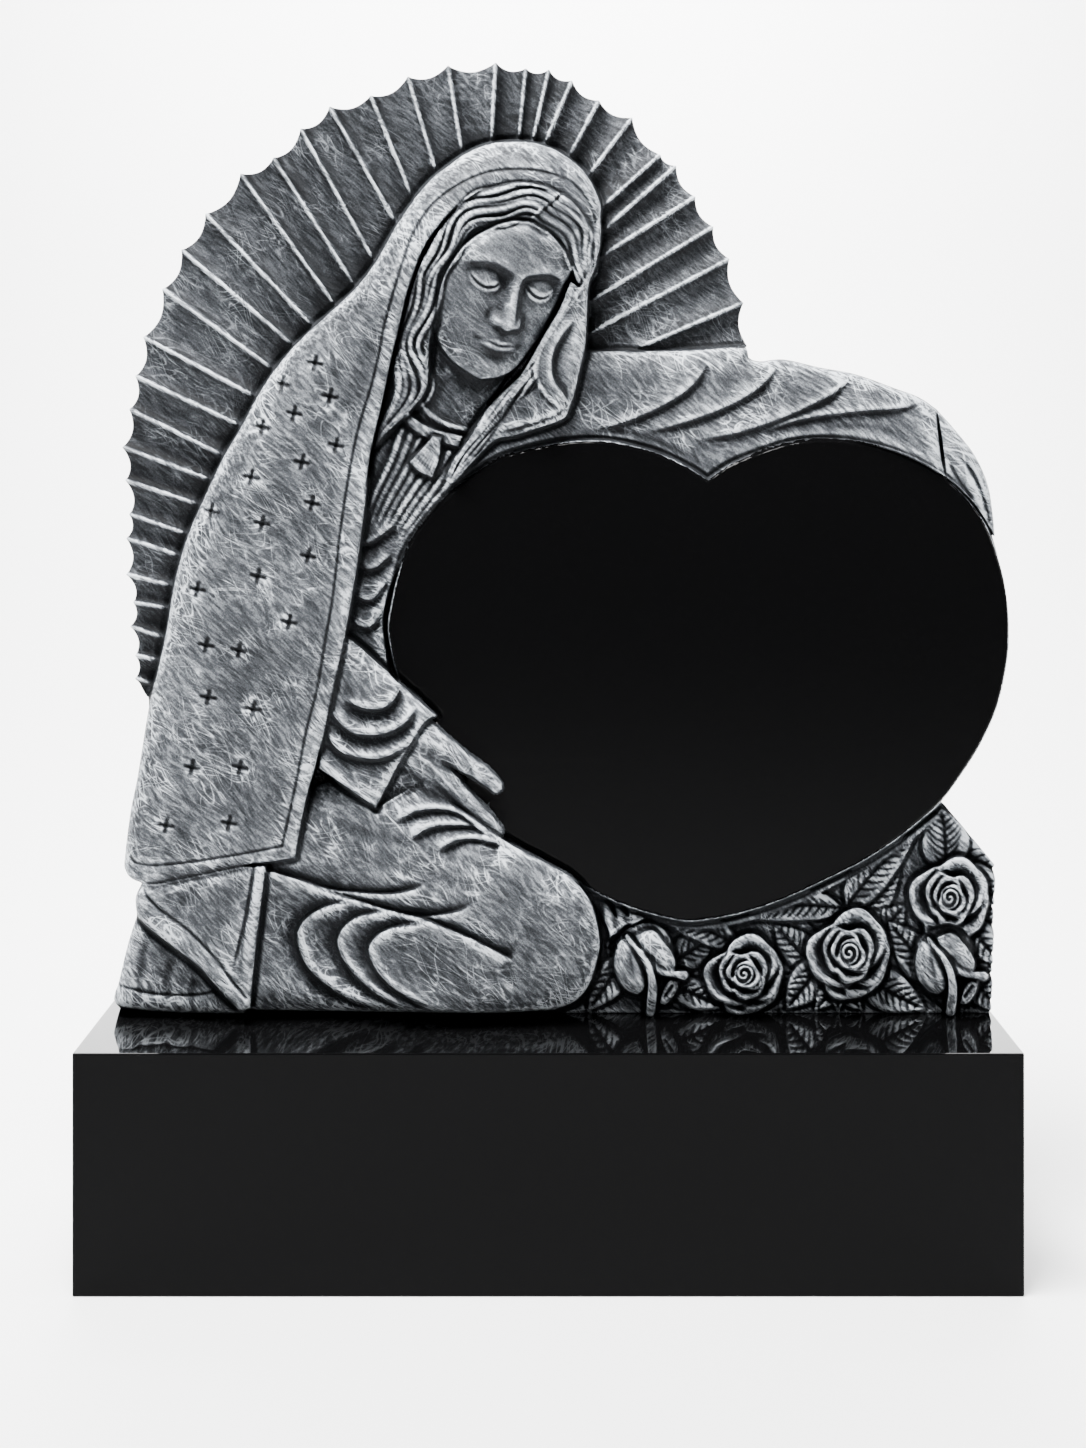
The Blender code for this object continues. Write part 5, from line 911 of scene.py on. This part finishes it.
def ribbon(sheet, stations, dome=0.5, shadow=2.5):
    # a domed band through (u, v, height, half width) stations, laid over what is there
    stations = np.array(stations, float)
    plan = smoothCurve(stations[:, :2], 2.0)
    where, distance, along, _ = sheet.nearest(plan, stations[:, 3].max() + 7)
    runs = np.concatenate([[0], np.cumsum(np.hypot(*np.diff(stations[:, :2], axis=0).T))])
    level = np.interp(along, runs / runs[-1], stations[:, 2])
    half = np.interp(along, runs / runs[-1], stations[:, 3])
    top = level + dome * half * np.sqrt(np.clip(1 - (distance / half) ** 2, 0, 1))
    cover = ease((half - distance) / 1.4 + 0.5)
    below = sheet.height[where] - shadow * np.exp(-(((distance - half - 2.2) / 2.0) ** 2))
    sheet.height[where] = below + (top - below) * cover


# each petal's bearing, place and radius as shares of the rose, and its height
rosePetals = [
    (95, 0.38, 0.62, 14), (50, 0.40, 0.60, 15), (8, 0.36, 0.64, 17), (172, 0.33, 0.67, 17),
    (-52, 0.33, 0.66, 20), (-165, 0.17, 0.47, 27), (70, 0.22, 0.42, 27), (-25, 0.17, 0.45, 29),
    (-120, 0.10, 0.37, 31), (30, 0.07, 0.33, 32),
]


def calyx(sheet):
    # the left bud's stem and the pointed leaves that hold it
    ribbon(sheet, [(562, 856, 20, 2.4), (585, 884, 22, 3.4), (602, 908, 25, 5), (615, 927, 29, 8)],
        0.5, 2)
    for low, side, tip in (((610, 938), (622, 926), (597, 886)),
            ((619, 930), (633, 921), (612, 896)), ((630, 926), (646, 918), (626, 903))):
        form(sheet, [([low, tip], 3.5, 3), ([tip, side], 3.5, 3), ([side, low], 3, 3)],
            [(*low, 36), (*tip, 23)], 1.8, 3, spacing=1.5)
    raiseRidge(sheet, [(606, 950), (611, 936), (621, 927), (634, 922), (648, 919)], 5, 4, 0.1, 0.1)


def carveTablet(bounds, step):
    sheet = Sheet(*bounds, step)
    rays(sheet)
    shawl(sheet)
    farHand(sheet)
    torso(sheet)
    dressFolds(sheet)
    neck(sheet)
    face(sheet)
    hairLeft(sheet)
    hairRight(sheet)
    lapel(sheet)
    panel(sheet)
    heart(sheet)
    skirt(sheet)
    hand(sheet)
    sleeve(sheet)
    drape(sheet)
    mantle(sheet)
    # the whole front rubbed over once
    sheet.height = soften(sheet.height)
    return sheet


# placing the pattern in the frame

slabBack = tabletHigh.y
rayGround = slabBack - tabletLook["slabThickness"]
foot = tabletLow.z


def leanAt(height):
    return (tabletLook["reach"] - height) / tabletLook["drawnAt"]


def patternScale():
    top = min(outer[1] for outer, _ in rayLines)
    tallest = tabletLook["footDrop"] + (tabletLook["drawV"] - top) * leanAt(tabletLook["rayCrest"])
    return (tabletHigh.z - foot) / tallest


def toFrame(u, v, height):
    scale, lean = patternScale(), leanAt(height)
    x = tabletLook["offset"] + scale * (u - tabletLook["drawU"]) * lean
    y = rayGround - tabletLook["reliefDepth"] * height / tabletLook["patternRelief"]
    z = foot + scale * (tabletLook["footDrop"] - (v - tabletLook["drawV"]) * lean)
    return np.stack(np.broadcast_arrays(x, y, z), axis=-1)


def toPattern(places):
    # back from the frame to the sheet, for reading the carving's maps at a point
    height = (rayGround - places[:, 1]) * tabletLook["patternRelief"] / tabletLook["reliefDepth"]
    height = np.maximum(height, -10.0)
    scale, lean = patternScale(), leanAt(height)
    u = tabletLook["drawU"] + (places[:, 0] - tabletLook["offset"]) / (scale * lean)
    v = tabletLook["drawV"] + (tabletLook["footDrop"] - (places[:, 2] - foot) / scale) / lean
    return u, v, height


def scallopedRays():
    tips = [np.array(outer, float) for outer, _ in rayLines]
    edge = []
    for a, b in zip(tips, tips[1:]):
        inward = np.array([(a - b)[1], (b - a)[0]]) * tabletLook["scallop"]
        bows = [(s, math.sin(math.pi * s)) for s in (0.12, 0.25, 0.38, 0.5, 0.62, 0.75, 0.88)]
        edge += [a, *(a + (b - a) * s + inward * bow for s, bow in bows)]
    return np.array([(144, 697), *edge, tips[-1]])


def tabletEdge():
    # (height at the edge, curve)
    stretches = (
        (30, smoothCurve([(113, 1035), (112, 999), (117, 985), (126, 946), (136, 912), (135, 897),
            (141, 884)], 5)),
        (25, smoothCurve([(134, 880), (126, 872), (123, 862), (129, 815), (137, 775), (148, 708)],
            8)),
        (tabletLook["rayCrest"], scallopedRays()), (18, smoothCurve(shawlTop[3:], 6)),
        (26, smoothCurve(farHandEdge[1:], 6)), (38, smoothCurve(heartFreeSide, 6)),
        (14, np.array([(945, 805), (994, 864), (990, 1035)], float)),
    )
    placed = []
    for height, curve in stretches:
        placed.append(toFrame(curve[:, 0], curve[:, 1], float(height)))
    points = np.vstack(placed)
    points[:, 2] = np.maximum(points[:, 2], foot)
    return points[:, [0, 2]]


def newObject(name, bm):
    mesh = bpy.data.meshes.new(name)
    bm.to_mesh(mesh)
    bm.free()
    made = bpy.data.objects.new(name, mesh)
    bpy.context.scene.collection.objects.link(made)
    return made


def pickOnly(obj):
    bpy.ops.object.select_all(action="DESELECT")
    obj.select_set(True)
    bpy.context.view_layer.objects.active = obj


def blurred(image, reach):
    # a box blur run three times, close to a round one
    for _ in range(3):
        for axis in (0, 1):
            padded = np.pad(image, [(reach + 1, reach) if a == axis else (0, 0) for a in (0, 1)],
                mode="edge")
            total = np.cumsum(padded, axis=axis)
            high = np.take(total, np.arange(2 * reach + 1, total.shape[axis]), axis=axis)
            low = np.take(total, np.arange(0, total.shape[axis] - 2 * reach - 1), axis=axis)
            image = (high - low) / (2 * reach + 1)
    return image


def sampled(image, sheet, u, v):
    column = np.clip((u - sheet.left) / sheet.step, 0, image.shape[1] - 1.001)
    row = np.clip((v - sheet.top) / sheet.step, 0, image.shape[0] - 1.001)
    c, r = column.astype(int), row.astype(int)
    fc, fr = column - c, row - r
    return (
        image[r, c] * (1 - fc) * (1 - fr)
        + image[r, c + 1] * fc * (1 - fr)
        + image[r + 1, c] * (1 - fc) * fr
        + image[r + 1, c + 1] * fc * fr
    )


def makeTablet(finishes):
    sheet = carveTablet(tabletLook["sheet"], tabletLook["patternStep"])
    print("carving worked out")
    edge = tabletEdge()
    outlineU, outlineV, _ = toPattern(np.column_stack([edge[:, 0],
        np.full(len(edge), rayGround - 0.02), edge[:, 1]]))
    near = np.zeros(sheet.height.shape, bool)
    where, inset = sheet.inset(np.column_stack([outlineU, outlineV]), 8)
    near[where] = inset > -6
    rows, columns = sheet.height.shape
    pickNothing()
    bpy.ops.mesh.primitive_grid_add(x_subdivisions=columns - 1, y_subdivisions=rows - 1, size=1)
    front = bpy.context.object
    front.name = "carvedTablet"
    u, v = np.meshgrid(sheet.u, sheet.v[::-1])
    places = toFrame(u, v, sheet.height[::-1])
    front.data.vertices.foreach_set("co", places.reshape(-1).astype(np.float32))
    bm = bmesh.new()
    bm.from_mesh(front.data)
    bm.verts.ensure_lookup_table()
    beyond = np.flatnonzero(~near[::-1].reshape(-1))
    bmesh.ops.delete(bm, geom=[bm.verts[i] for i in beyond], context="VERTS")
    bm.to_mesh(front.data)
    bm.free()
    thin = front.modifiers.new("thin", "DECIMATE")
    thin.ratio = tabletLook["carvedTriangles"] / (2 * len(front.data.polygons))
    bpy.ops.object.modifier_apply(modifier="thin")
    print("carved front", len(front.data.polygons), "triangles")
    # walls back to the flat rear face
    bm = bmesh.new()
    bm.from_mesh(front.data)
    walls = bmesh.ops.extrude_edge_only(bm, edges=[e for e in bm.edges if e.is_boundary])["geom"]
    for vertex in (g for g in walls if isinstance(g, bmesh.types.BMVert)):
        vertex.co.y = slabBack
    bmesh.ops.holes_fill(bm, edges=[e for e in bm.edges if e.is_boundary], sides=0)
    bmesh.ops.triangulate(bm, faces=[f for f in bm.faces if len(f.verts) > 4])
    bmesh.ops.recalc_face_normals(bm, faces=bm.faces)
    bm.to_mesh(front.data)
    bm.free()
    # the outline cuts the edge
    bm = bmesh.new()
    face = bm.faces.new([bm.verts.new((x, tabletLow.y - 0.03, z)) for x, z in edge])
    pulled = bmesh.ops.extrude_face_region(bm, geom=[face])["geom"]
    for vertex in (g for g in pulled if isinstance(g, bmesh.types.BMVert)):
        vertex.co.y = slabBack + 0.03
    bmesh.ops.recalc_face_normals(bm, faces=bm.faces)
    cutter = newObject("tabletOutline", bm)
    trim = front.modifiers.new("trim", "BOOLEAN")
    trim.operation = "INTERSECT"
    trim.solver = "MANIFOLD"
    trim.object = cutter
    pickOnly(front)
    bpy.ops.object.modifier_apply(modifier="trim")
    bpy.data.objects.remove(cutter)
    print("tablet trimmed", len(front.data.polygons), "faces")
    front.data.materials.clear()
    for finish in finishes:
        front.data.materials.append(finish)
    paintTablet(front, sheet)
    return front


def pickNothing():
    bpy.ops.object.select_all(action="DESELECT")


# reach of each map in steps of the sheet, and the height that counts as full; the maps paint light
# on crests and shade in hollows and on steep sides into the stone's colour
mapsLook = {
    "small": (2, 1.0),
    "paintedCrestShading": (4, 2.2),
    "paintedHollowShading": (7, 8.0),
    "wide": (18, 16.0),
    "fineShare": 0.25,
    # above this slope the sides get painted shade
    "gentleSlope": 0.25,
    "rubbedReach": (68, 106),  # half width and half height of the smoother face
    "rubbedShift": (-6, 12),
}


def paintTablet(tablet, sheet):
    # painted light and shade: how sunk or raised each point is, for the painted highlights on the
    # crests and the painted shade in the hollows
    mesh = tablet.data
    places = np.empty(len(mesh.vertices) * 3, np.float32)
    mesh.vertices.foreach_get("co", places)
    places = places.reshape(-1, 3).astype(float)
    u, v, height = toPattern(places)
    relief = sheet.height

    def raisedBy(name, highest=1.0):
        reach, full = mapsLook[name]
        return np.clip((relief - blurred(relief, reach)) / full, -1, highest)

    share = mapsLook["fineShare"]
    # painted highlight on small crests and painted shade in narrow grooves
    paintedCrestShading = (1 - share) * raisedBy("small") + share * raisedBy("paintedCrestShading")
    # painted shade in broad hollows, and a little painted light on broad swells
    paintedHollowShading = raisedBy("paintedHollowShading", 0.35)
    # painted shade: steep sides are painted darker than what faces forward
    slope = np.hypot(*np.gradient(blurred(relief, 2), sheet.step))
    wide = raisedBy("wide", 0.25) - np.clip(slope - mapsLook["gentleSlope"], 0, 1)
    # the face is rubbed smoother than the cloth
    middle = [c + shift for c, shift in zip(faceLook["centre"], mapsLook["rubbedShift"])]
    across, down = np.meshgrid(sheet.u - middle[0], sheet.v - middle[1])
    halfWide, halfHigh = mapsLook["rubbedReach"]
    rubbed = np.exp(-(((across / halfWide) ** 2 + (down / halfHigh) ** 2) ** 3))
    onFront = height > -0.5
    # the crest, hollow and broad maps carry painted light and shade for the stone's colour; the
    # rubbed map only thins the marks on the face
    for name, image in (("crest", paintedCrestShading), ("hollow", paintedHollowShading), ("paintedBroadShading", wide), ("rubbed", rubbed)):
        values = np.where(onFront, sampled(image, sheet, u, v), 0.0)
        layer = mesh.attributes.new(name, "FLOAT", "POINT")
        layer.data.foreach_set("value", values.astype(np.float32))
    # the heart's flat face is polished
    centres = np.empty(len(mesh.polygons) * 3, np.float32)
    mesh.polygons.foreach_get("center", centres)
    centres = centres.reshape(-1, 3).astype(float)
    cu, cv, ch = toPattern(centres)
    mask = np.zeros(relief.shape)
    where, inset = sheet.inset(outlineOf(*heartOutline), 6)
    mask[where] = inset > -0.6
    onHeart = (sampled(mask, sheet, cu, cv) > 0.5) & (ch < tabletLook["heartFace"] + 0.35)
    normals = np.empty(len(mesh.polygons) * 3, np.float32)
    mesh.polygons.foreach_get("normal", normals)
    facing = normals.reshape(-1, 3)[:, 1] < -0.5
    onHeart &= facing & (ch > tabletLook["heartFace"] - 4)
    mesh.polygons.foreach_set("material_index", onHeart.astype(np.int32))
    mesh.shade_smooth()
    mesh.set_sharp_from_angle(angle=math.radians(50))
    mesh.polygons.foreach_set("use_smooth", ~onHeart)


# finishes

def newMaterial(name):
    material = bpy.data.materials.new(name)
    material.use_nodes = True
    nodes = material.node_tree.nodes
    return material, nodes, material.node_tree.links, nodes["Principled BSDF"]


def maths(nodes, links, operation, first, second=None, third=None, clamp=False):
    node = nodes.new("ShaderNodeMath")
    node.operation = operation
    node.use_clamp = clamp
    for socket, value in zip(node.inputs, (first, second, third)):
        if value is None:
            continue
        if isinstance(value, (int, float)):
            socket.default_value = value
        else:
            links.new(value, socket)
    return node.outputs[0]


def ranged(nodes, links, value, low, high, toLow=0.0, toHigh=1.0):
    node = nodes.new("ShaderNodeMapRange")
    for key, number in (("From Min", low), ("From Max", high), ("To Min", toLow),
            ("To Max", toHigh)):
        node.inputs[key].default_value = number
    links.new(value, node.inputs["Value"])
    return node.outputs["Result"]


def noiseOf(nodes, links, coords, scale, detail=3.0, roughness=0.5, distortion=0.0, turn=0.0,
        stretch=None):
    if stretch:
        # turned first and then drawn out along the turned direction
        mapping = nodes.new("ShaderNodeMapping")
        mapping.vector_type = "TEXTURE"
        mapping.inputs["Rotation"].default_value = (0.0, turn, 0.0)
        mapping.inputs["Scale"].default_value = stretch
        links.new(coords, mapping.inputs["Vector"])
        coords = mapping.outputs["Vector"]
    node = nodes.new("ShaderNodeTexNoise")
    node.inputs["Scale"].default_value = scale
    node.inputs["Detail"].default_value = detail
    node.inputs["Roughness"].default_value = roughness
    node.inputs["Distortion"].default_value = distortion
    links.new(coords, node.inputs["Vector"])
    return node.outputs["Fac"]


# (turn, scale) of each layer of strokes, and (turn, scale, strength) of each layer of hairs
marksLook = {
    "wander": 0.030,
    "wanderScale": 10.0,
    "strokes": ((0.62, 380.0), (0.90, 300.0)),
    "hairs": ((0.6, 38.0, 1.0), (0.15, 50.0, 0.8), (1.15, 44.0, 0.9)),
    "hairWidth": 0.012,
    "strokeStretch": (6.0, 2.0, 1.0),
    "hairStretch": (4.5, 2.0, 1.0),
    "hairLevels": (0.42, 0.5, 0.58),
    "gateScale": 26.0,  # size of the patches with and without hairs
}


def chiselMarks():
    # the finishing tools' marks: dense short strokes, and long light hairs that cross them
    group = bpy.data.node_groups.new("chiselMarks", "ShaderNodeTree")
    group.interface.new_socket("Vector", in_out="INPUT", socket_type="NodeSocketVector")
    group.interface.new_socket("Strokes", in_out="OUTPUT", socket_type="NodeSocketFloat")
    group.interface.new_socket("Hairs", in_out="OUTPUT", socket_type="NodeSocketFloat")
    nodes, links = group.nodes, group.links
    entry, leave = nodes.new("NodeGroupInput"), nodes.new("NodeGroupOutput")
    # the tool's direction wanders over the stone
    wander = nodes.new("ShaderNodeTexNoise")
    wander.inputs["Scale"].default_value = marksLook["wanderScale"]
    wander.inputs["Detail"].default_value = 1.0
    links.new(entry.outputs["Vector"], wander.inputs["Vector"])
    shift = nodes.new("ShaderNodeVectorMath")
    shift.operation = "MULTIPLY_ADD"
    shift.inputs[1].default_value = (marksLook["wander"],) * 3
    links.new(wander.outputs["Color"], shift.inputs[0])
    links.new(entry.outputs["Vector"], shift.inputs[2])
    moved = shift.outputs[0]
    strokes = None
    for turn, scale in marksLook["strokes"]:
        fac = noiseOf(nodes, links, moved, scale, 1.0, 0.5, 0.0, turn, marksLook["strokeStretch"])
        one = ranged(nodes, links, fac, 0.41, 0.59)
        strokes = one if strokes is None else maths(nodes, links, "MULTIPLY_ADD", one, 0.5,
            maths(nodes, links, "MULTIPLY", strokes, 0.5))
    links.new(strokes, leave.inputs["Strokes"])
    hairs = None
    for turn, scale, strength in marksLook["hairs"]:
        # where the noise passes its middle there is one thin wandering line
        fac = noiseOf(nodes, links, moved, scale, 1.0, 0.5, 0.2, turn, marksLook["hairStretch"])
        for level in marksLook["hairLevels"]:
            off = maths(nodes, links, "ABSOLUTE", maths(nodes, links, "SUBTRACT", fac, level))
            line = ranged(nodes, links, off, 0.0, marksLook["hairWidth"], strength, 0.0)
            hairs = line if hairs is None else maths(nodes, links, "MAXIMUM", hairs, line)
    gate = noiseOf(nodes, links, entry.outputs["Vector"], marksLook["gateScale"], 2.0, 0.6)
    hairs = maths(nodes, links, "MULTIPLY", hairs, ranged(nodes, links, gate, 0.42, 0.6, 0.05, 1.0))
    links.new(hairs, leave.inputs["Hairs"])
    return group


# shades from dark to light, and what each map and mark adds to the tone; the crest, hollow and
# broad maps add painted highlight and painted shade
carvedLook = {
    "shades": (
        (0.0022, 0.0024, 0.0028),
        (0.0105, 0.0115, 0.013),
        (0.040, 0.043, 0.048),
        (0.135, 0.145, 0.157),
        (0.46, 0.49, 0.52),
    ),
    "tone": 0.455,  # of plain stone, 0 darkest and 1 lightest
    # strengths of the painted highlight on crests, the painted shade in hollows, and the painted
    # light and shade of broad forms and steep sides
    "crest": 0.32,
    "hollow": 0.34,
    "paintedBroadShading": 0.20,
    "deepestPaintedShade": 0.27,  # most that the painted shade takes off
    "onFace": 0.5,  # share of the marks on the face
    "strokes": 0.42,
    "hairs": 0.56,
    "cloud": 0.09,
    "cloudScale": 9.0,
    "speck": 0.10,
    "speckScale": 560.0,
    "bumpStrength": 0.6,
    "bumpDepth": 0.001,
    "roughness": 0.62,
    "specular": 0.08,
}


def carvedGranite(marks):
    material, nodes, links, shader = newMaterial("carvedGranite")
    coords = nodes.new("ShaderNodeTexCoord").outputs["Object"]

    def attribute(name):
        node = nodes.new("ShaderNodeAttribute")
        node.attribute_name = name
        return node.outputs["Fac"]

    def add(a, b):
        return maths(nodes, links, "ADD", a, b)

    def times(a, b):
        return maths(nodes, links, "MULTIPLY", a, b)

    tooled = nodes.new("ShaderNodeGroup")
    tooled.node_tree = marks
    links.new(coords, tooled.inputs["Vector"])
    strokes, hairs = tooled.outputs["Strokes"], tooled.outputs["Hairs"]
    cloudScale, speckScale = carvedLook["cloudScale"], carvedLook["speckScale"]
    cloud = noiseOf(nodes, links, coords, cloudScale, 4.0, 0.55, 0.0, 0.7, (1.8, 1.0, 1.0))
    speck = noiseOf(nodes, links, coords, speckScale, 2.0, 0.7)
    # painted highlight on the crests, painted shade in the hollows and on steep sides
    tone = add(times(attribute("crest"), carvedLook["crest"]), times(attribute("hollow"),
        carvedLook["hollow"]))
    tone = add(tone, times(attribute("paintedBroadShading"), carvedLook["paintedBroadShading"]))
    tone = maths(nodes, links, "MAXIMUM", tone, -carvedLook["deepestPaintedShade"])
    # the marks show where the stone stands up and fade where the hollows are painted dark
    raised = ranged(nodes, links, attribute("hollow"), -0.5, 0.3, 0.25, 1.0)
    half = carvedLook["strokes"] / 2
    marked = add(ranged(nodes, links, strokes, 0.0, 1.0, -half, half),
        times(hairs, carvedLook["hairs"]))
    rubbed = ranged(nodes, links, attribute("rubbed"), 0.0, 1.0, 1.0, carvedLook["onFace"])
    tone = add(tone, times(times(marked, raised), rubbed))
    tone = add(tone, ranged(nodes, links, cloud, 0.3, 0.7, -carvedLook["cloud"],
        carvedLook["cloud"]))
    tone = add(tone, ranged(nodes, links, speck, 0.3, 0.7, -carvedLook["speck"],
        carvedLook["speck"]))
    tone = maths(nodes, links, "ADD", tone, carvedLook["tone"], clamp=True)
    ramp = nodes.new("ShaderNodeValToRGB")
    ends = ramp.color_ramp.elements
    ends[0].color = (*carvedLook["shades"][0], 1)
    ends[1].color = (*carvedLook["shades"][-1], 1)
    for k in range(1, len(carvedLook["shades"]) - 1):
        ends.new(k / (len(carvedLook["shades"]) - 1)).color = (*carvedLook["shades"][k], 1)
    links.new(tone, ramp.inputs["Fac"])
    links.new(ramp.outputs["Color"], shader.inputs["Base Color"])
    shader.inputs["Roughness"].default_value = carvedLook["roughness"]
    shader.inputs["Specular IOR Level"].default_value = carvedLook["specular"]
    bump = nodes.new("ShaderNodeBump")
    bump.inputs["Strength"].default_value = carvedLook["bumpStrength"]
    bump.inputs["Distance"].default_value = carvedLook["bumpDepth"]
    links.new(add(times(strokes, 0.35), add(times(hairs, 0.4), times(speck, 0.4))),
        bump.inputs["Height"])
    links.new(bump.outputs["Normal"], shader.inputs["Normal"])
    return material


polishedLook = {
    "ground": (0.0014, 0.0014, 0.0015, 1),
    "speck": (0.02, 0.02, 0.021, 1),
    "roughness": 0.06,
    "specular": 0.03,
    "glazeRoughness": 0.03,
    "grainScale": 800.0,
    "grains": (0.66, 0.80),  # noise where a grain starts and where it is full
    "glaze": (0.35, 0.7),  # how aslant the view is where the glaze starts and is full
}


def polishedGranite():
    material, nodes, links, shader = newMaterial("polishedGranite")
    coords = nodes.new("ShaderNodeTexCoord").outputs["Object"]
    grains = noiseOf(nodes, links, coords, polishedLook["grainScale"], 2.0, 0.7)
    mask = ranged(nodes, links, grains, *polishedLook["grains"])
    mix = nodes.new("ShaderNodeMix")
    mix.data_type = "RGBA"
    mix.inputs[6].default_value = polishedLook["ground"]
    mix.inputs[7].default_value = polishedLook["speck"]
    links.new(mask, mix.inputs[0])
    links.new(mix.outputs[2], shader.inputs["Base Color"])
    shader.inputs["Roughness"].default_value = polishedLook["roughness"]
    shader.inputs["Specular IOR Level"].default_value = polishedLook["specular"]
    # the polish shines along the surface and stays deep black face on
    facing = nodes.new("ShaderNodeLayerWeight")
    facing.inputs["Blend"].default_value = 0.5
    glaze = ranged(nodes, links, facing.outputs["Facing"], *polishedLook["glaze"])
    links.new(glaze, shader.inputs["Coat Weight"])
    shader.inputs["Coat Roughness"].default_value = polishedLook["glazeRoughness"]
    return material


# studio

cameraLook = {
    "place": (-0.005, -1.850, 0.800),
    "sensor": 36.0,
    "focalPixels": 1800.0,
    "imageHeight": 1448,
    "horizonRow": 450.0,
}


def makeCamera():
    data = bpy.data.cameras.new("camera")
    data.sensor_width = cameraLook["sensor"]
    data.lens = cameraLook["sensor"] * cameraLook["focalPixels"] / cameraLook["imageHeight"]
    below = cameraLook["imageHeight"] / 2 - cameraLook["horizonRow"]
    data.shift_y = -below / cameraLook["imageHeight"]
    camera = bpy.data.objects.new("camera", data)
    camera.location = cameraLook["place"]
    camera.rotation_euler = (math.radians(90), 0, 0)
    bpy.context.scene.collection.objects.link(camera)
    bpy.context.scene.camera = camera


studioLook = {
    "floor": (0.92, 0.92, 0.92, 1),
    "world": (1.0, 1.0, 1.0, 1),
    "worldStrength": 0.36,
    "floorSize": (16, 12),
    "backdrop": 3.2,  # how far behind the stone the wall stands
    "backdropBend": 1.4,
    "backdropHeight": 7,
    # name, place, aim, size and power
    "lamps": (
        ("topLamp", (-0.6, -0.7, 3.0), (0, 0, 0.6), (1.6, 1.0), 540),
        ("leftLamp", (-2.4, -1.2, 1.8), (0, 0, 0.7), (1.0, 1.8), 8),
        ("rightLamp", (2.6, -0.6, 1.6), (0, 0, 0.7), (0.8, 1.8), 70),
        ("backLamp", (0, 1.3, 2.9), (0, 3.2, 1.0), (3.0, 1.0), 470),
    ),
}


def makeFloor():
    pickNothing()
    bpy.ops.mesh.primitive_plane_add(size=1, location=(0, 0, 0))
    floor = bpy.context.object
    floor.name = "floor"
    bpy.ops.object.mode_set(mode="EDIT")
    wide, deep = studioLook["floorSize"]
    bpy.ops.transform.resize(value=(wide, deep, 1))
    bpy.ops.transform.translate(value=(0, studioLook["backdrop"] - deep / 2, 0))
    bpy.ops.mesh.select_all(action="DESELECT")
    bpy.ops.object.mode_set(mode="OBJECT")

    def pickEdges(test):
        for edge in floor.data.edges:
            edge.select = all(test(floor.data.vertices[i].co) for i in edge.vertices)

    pickEdges(lambda place: place.y > studioLook["backdrop"] - 0.1)
    bpy.ops.object.mode_set(mode="EDIT")
    bpy.ops.mesh.select_mode(type="EDGE")
    up = (0, 0, studioLook["backdropHeight"])
    bpy.ops.mesh.extrude_region_move(TRANSFORM_OT_translate={"value": up})
    bpy.ops.object.mode_set(mode="OBJECT")
    pickEdges(lambda place: abs(place.y - studioLook["backdrop"]) < 0.1 and place.z < 0.1)
    bpy.ops.object.mode_set(mode="EDIT")
    bpy.ops.mesh.bevel(offset=studioLook["backdropBend"], segments=24)
    bpy.ops.object.mode_set(mode="OBJECT")
    floor.data.shade_smooth()
    material, nodes, links, shader = newMaterial("paleFloor")
    shader.inputs["Base Color"].default_value = studioLook["floor"]
    shader.inputs["Roughness"].default_value = 0.55
    floor.data.materials.append(material)


def addLamp(name, place, aim, size, power):
    data = bpy.data.lights.new(name, "AREA")
    data.shape = "RECTANGLE"
    data.size, data.size_y = size
    data.energy = power
    lamp = bpy.data.objects.new(name, data)
    lamp.location = place
    run = Vector([a - p for a, p in zip(aim, place)])
    lamp.rotation_euler = run.to_track_quat("-Z", "Y").to_euler()
    bpy.context.scene.collection.objects.link(lamp)


def makeStudio():
    makeFloor()
    for lamp in studioLook["lamps"]:
        addLamp(*lamp)
    world = bpy.data.worlds.new("studio")
    world.use_nodes = True
    background = world.node_tree.nodes["Background"]
    background.inputs["Color"].default_value = studioLook["world"]
    background.inputs["Strength"].default_value = studioLook["worldStrength"]
    bpy.context.scene.world = world


carved = carvedGranite(chiselMarks())
polished = polishedGranite()

tablet = makeTablet((carved, polished))
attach(tablet, "root")
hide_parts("tablet")

base = bpy.data.objects["base"]
base.data.materials.clear()
base.data.materials.append(polished)

makeStudio()
makeCamera()
print("studio ready")
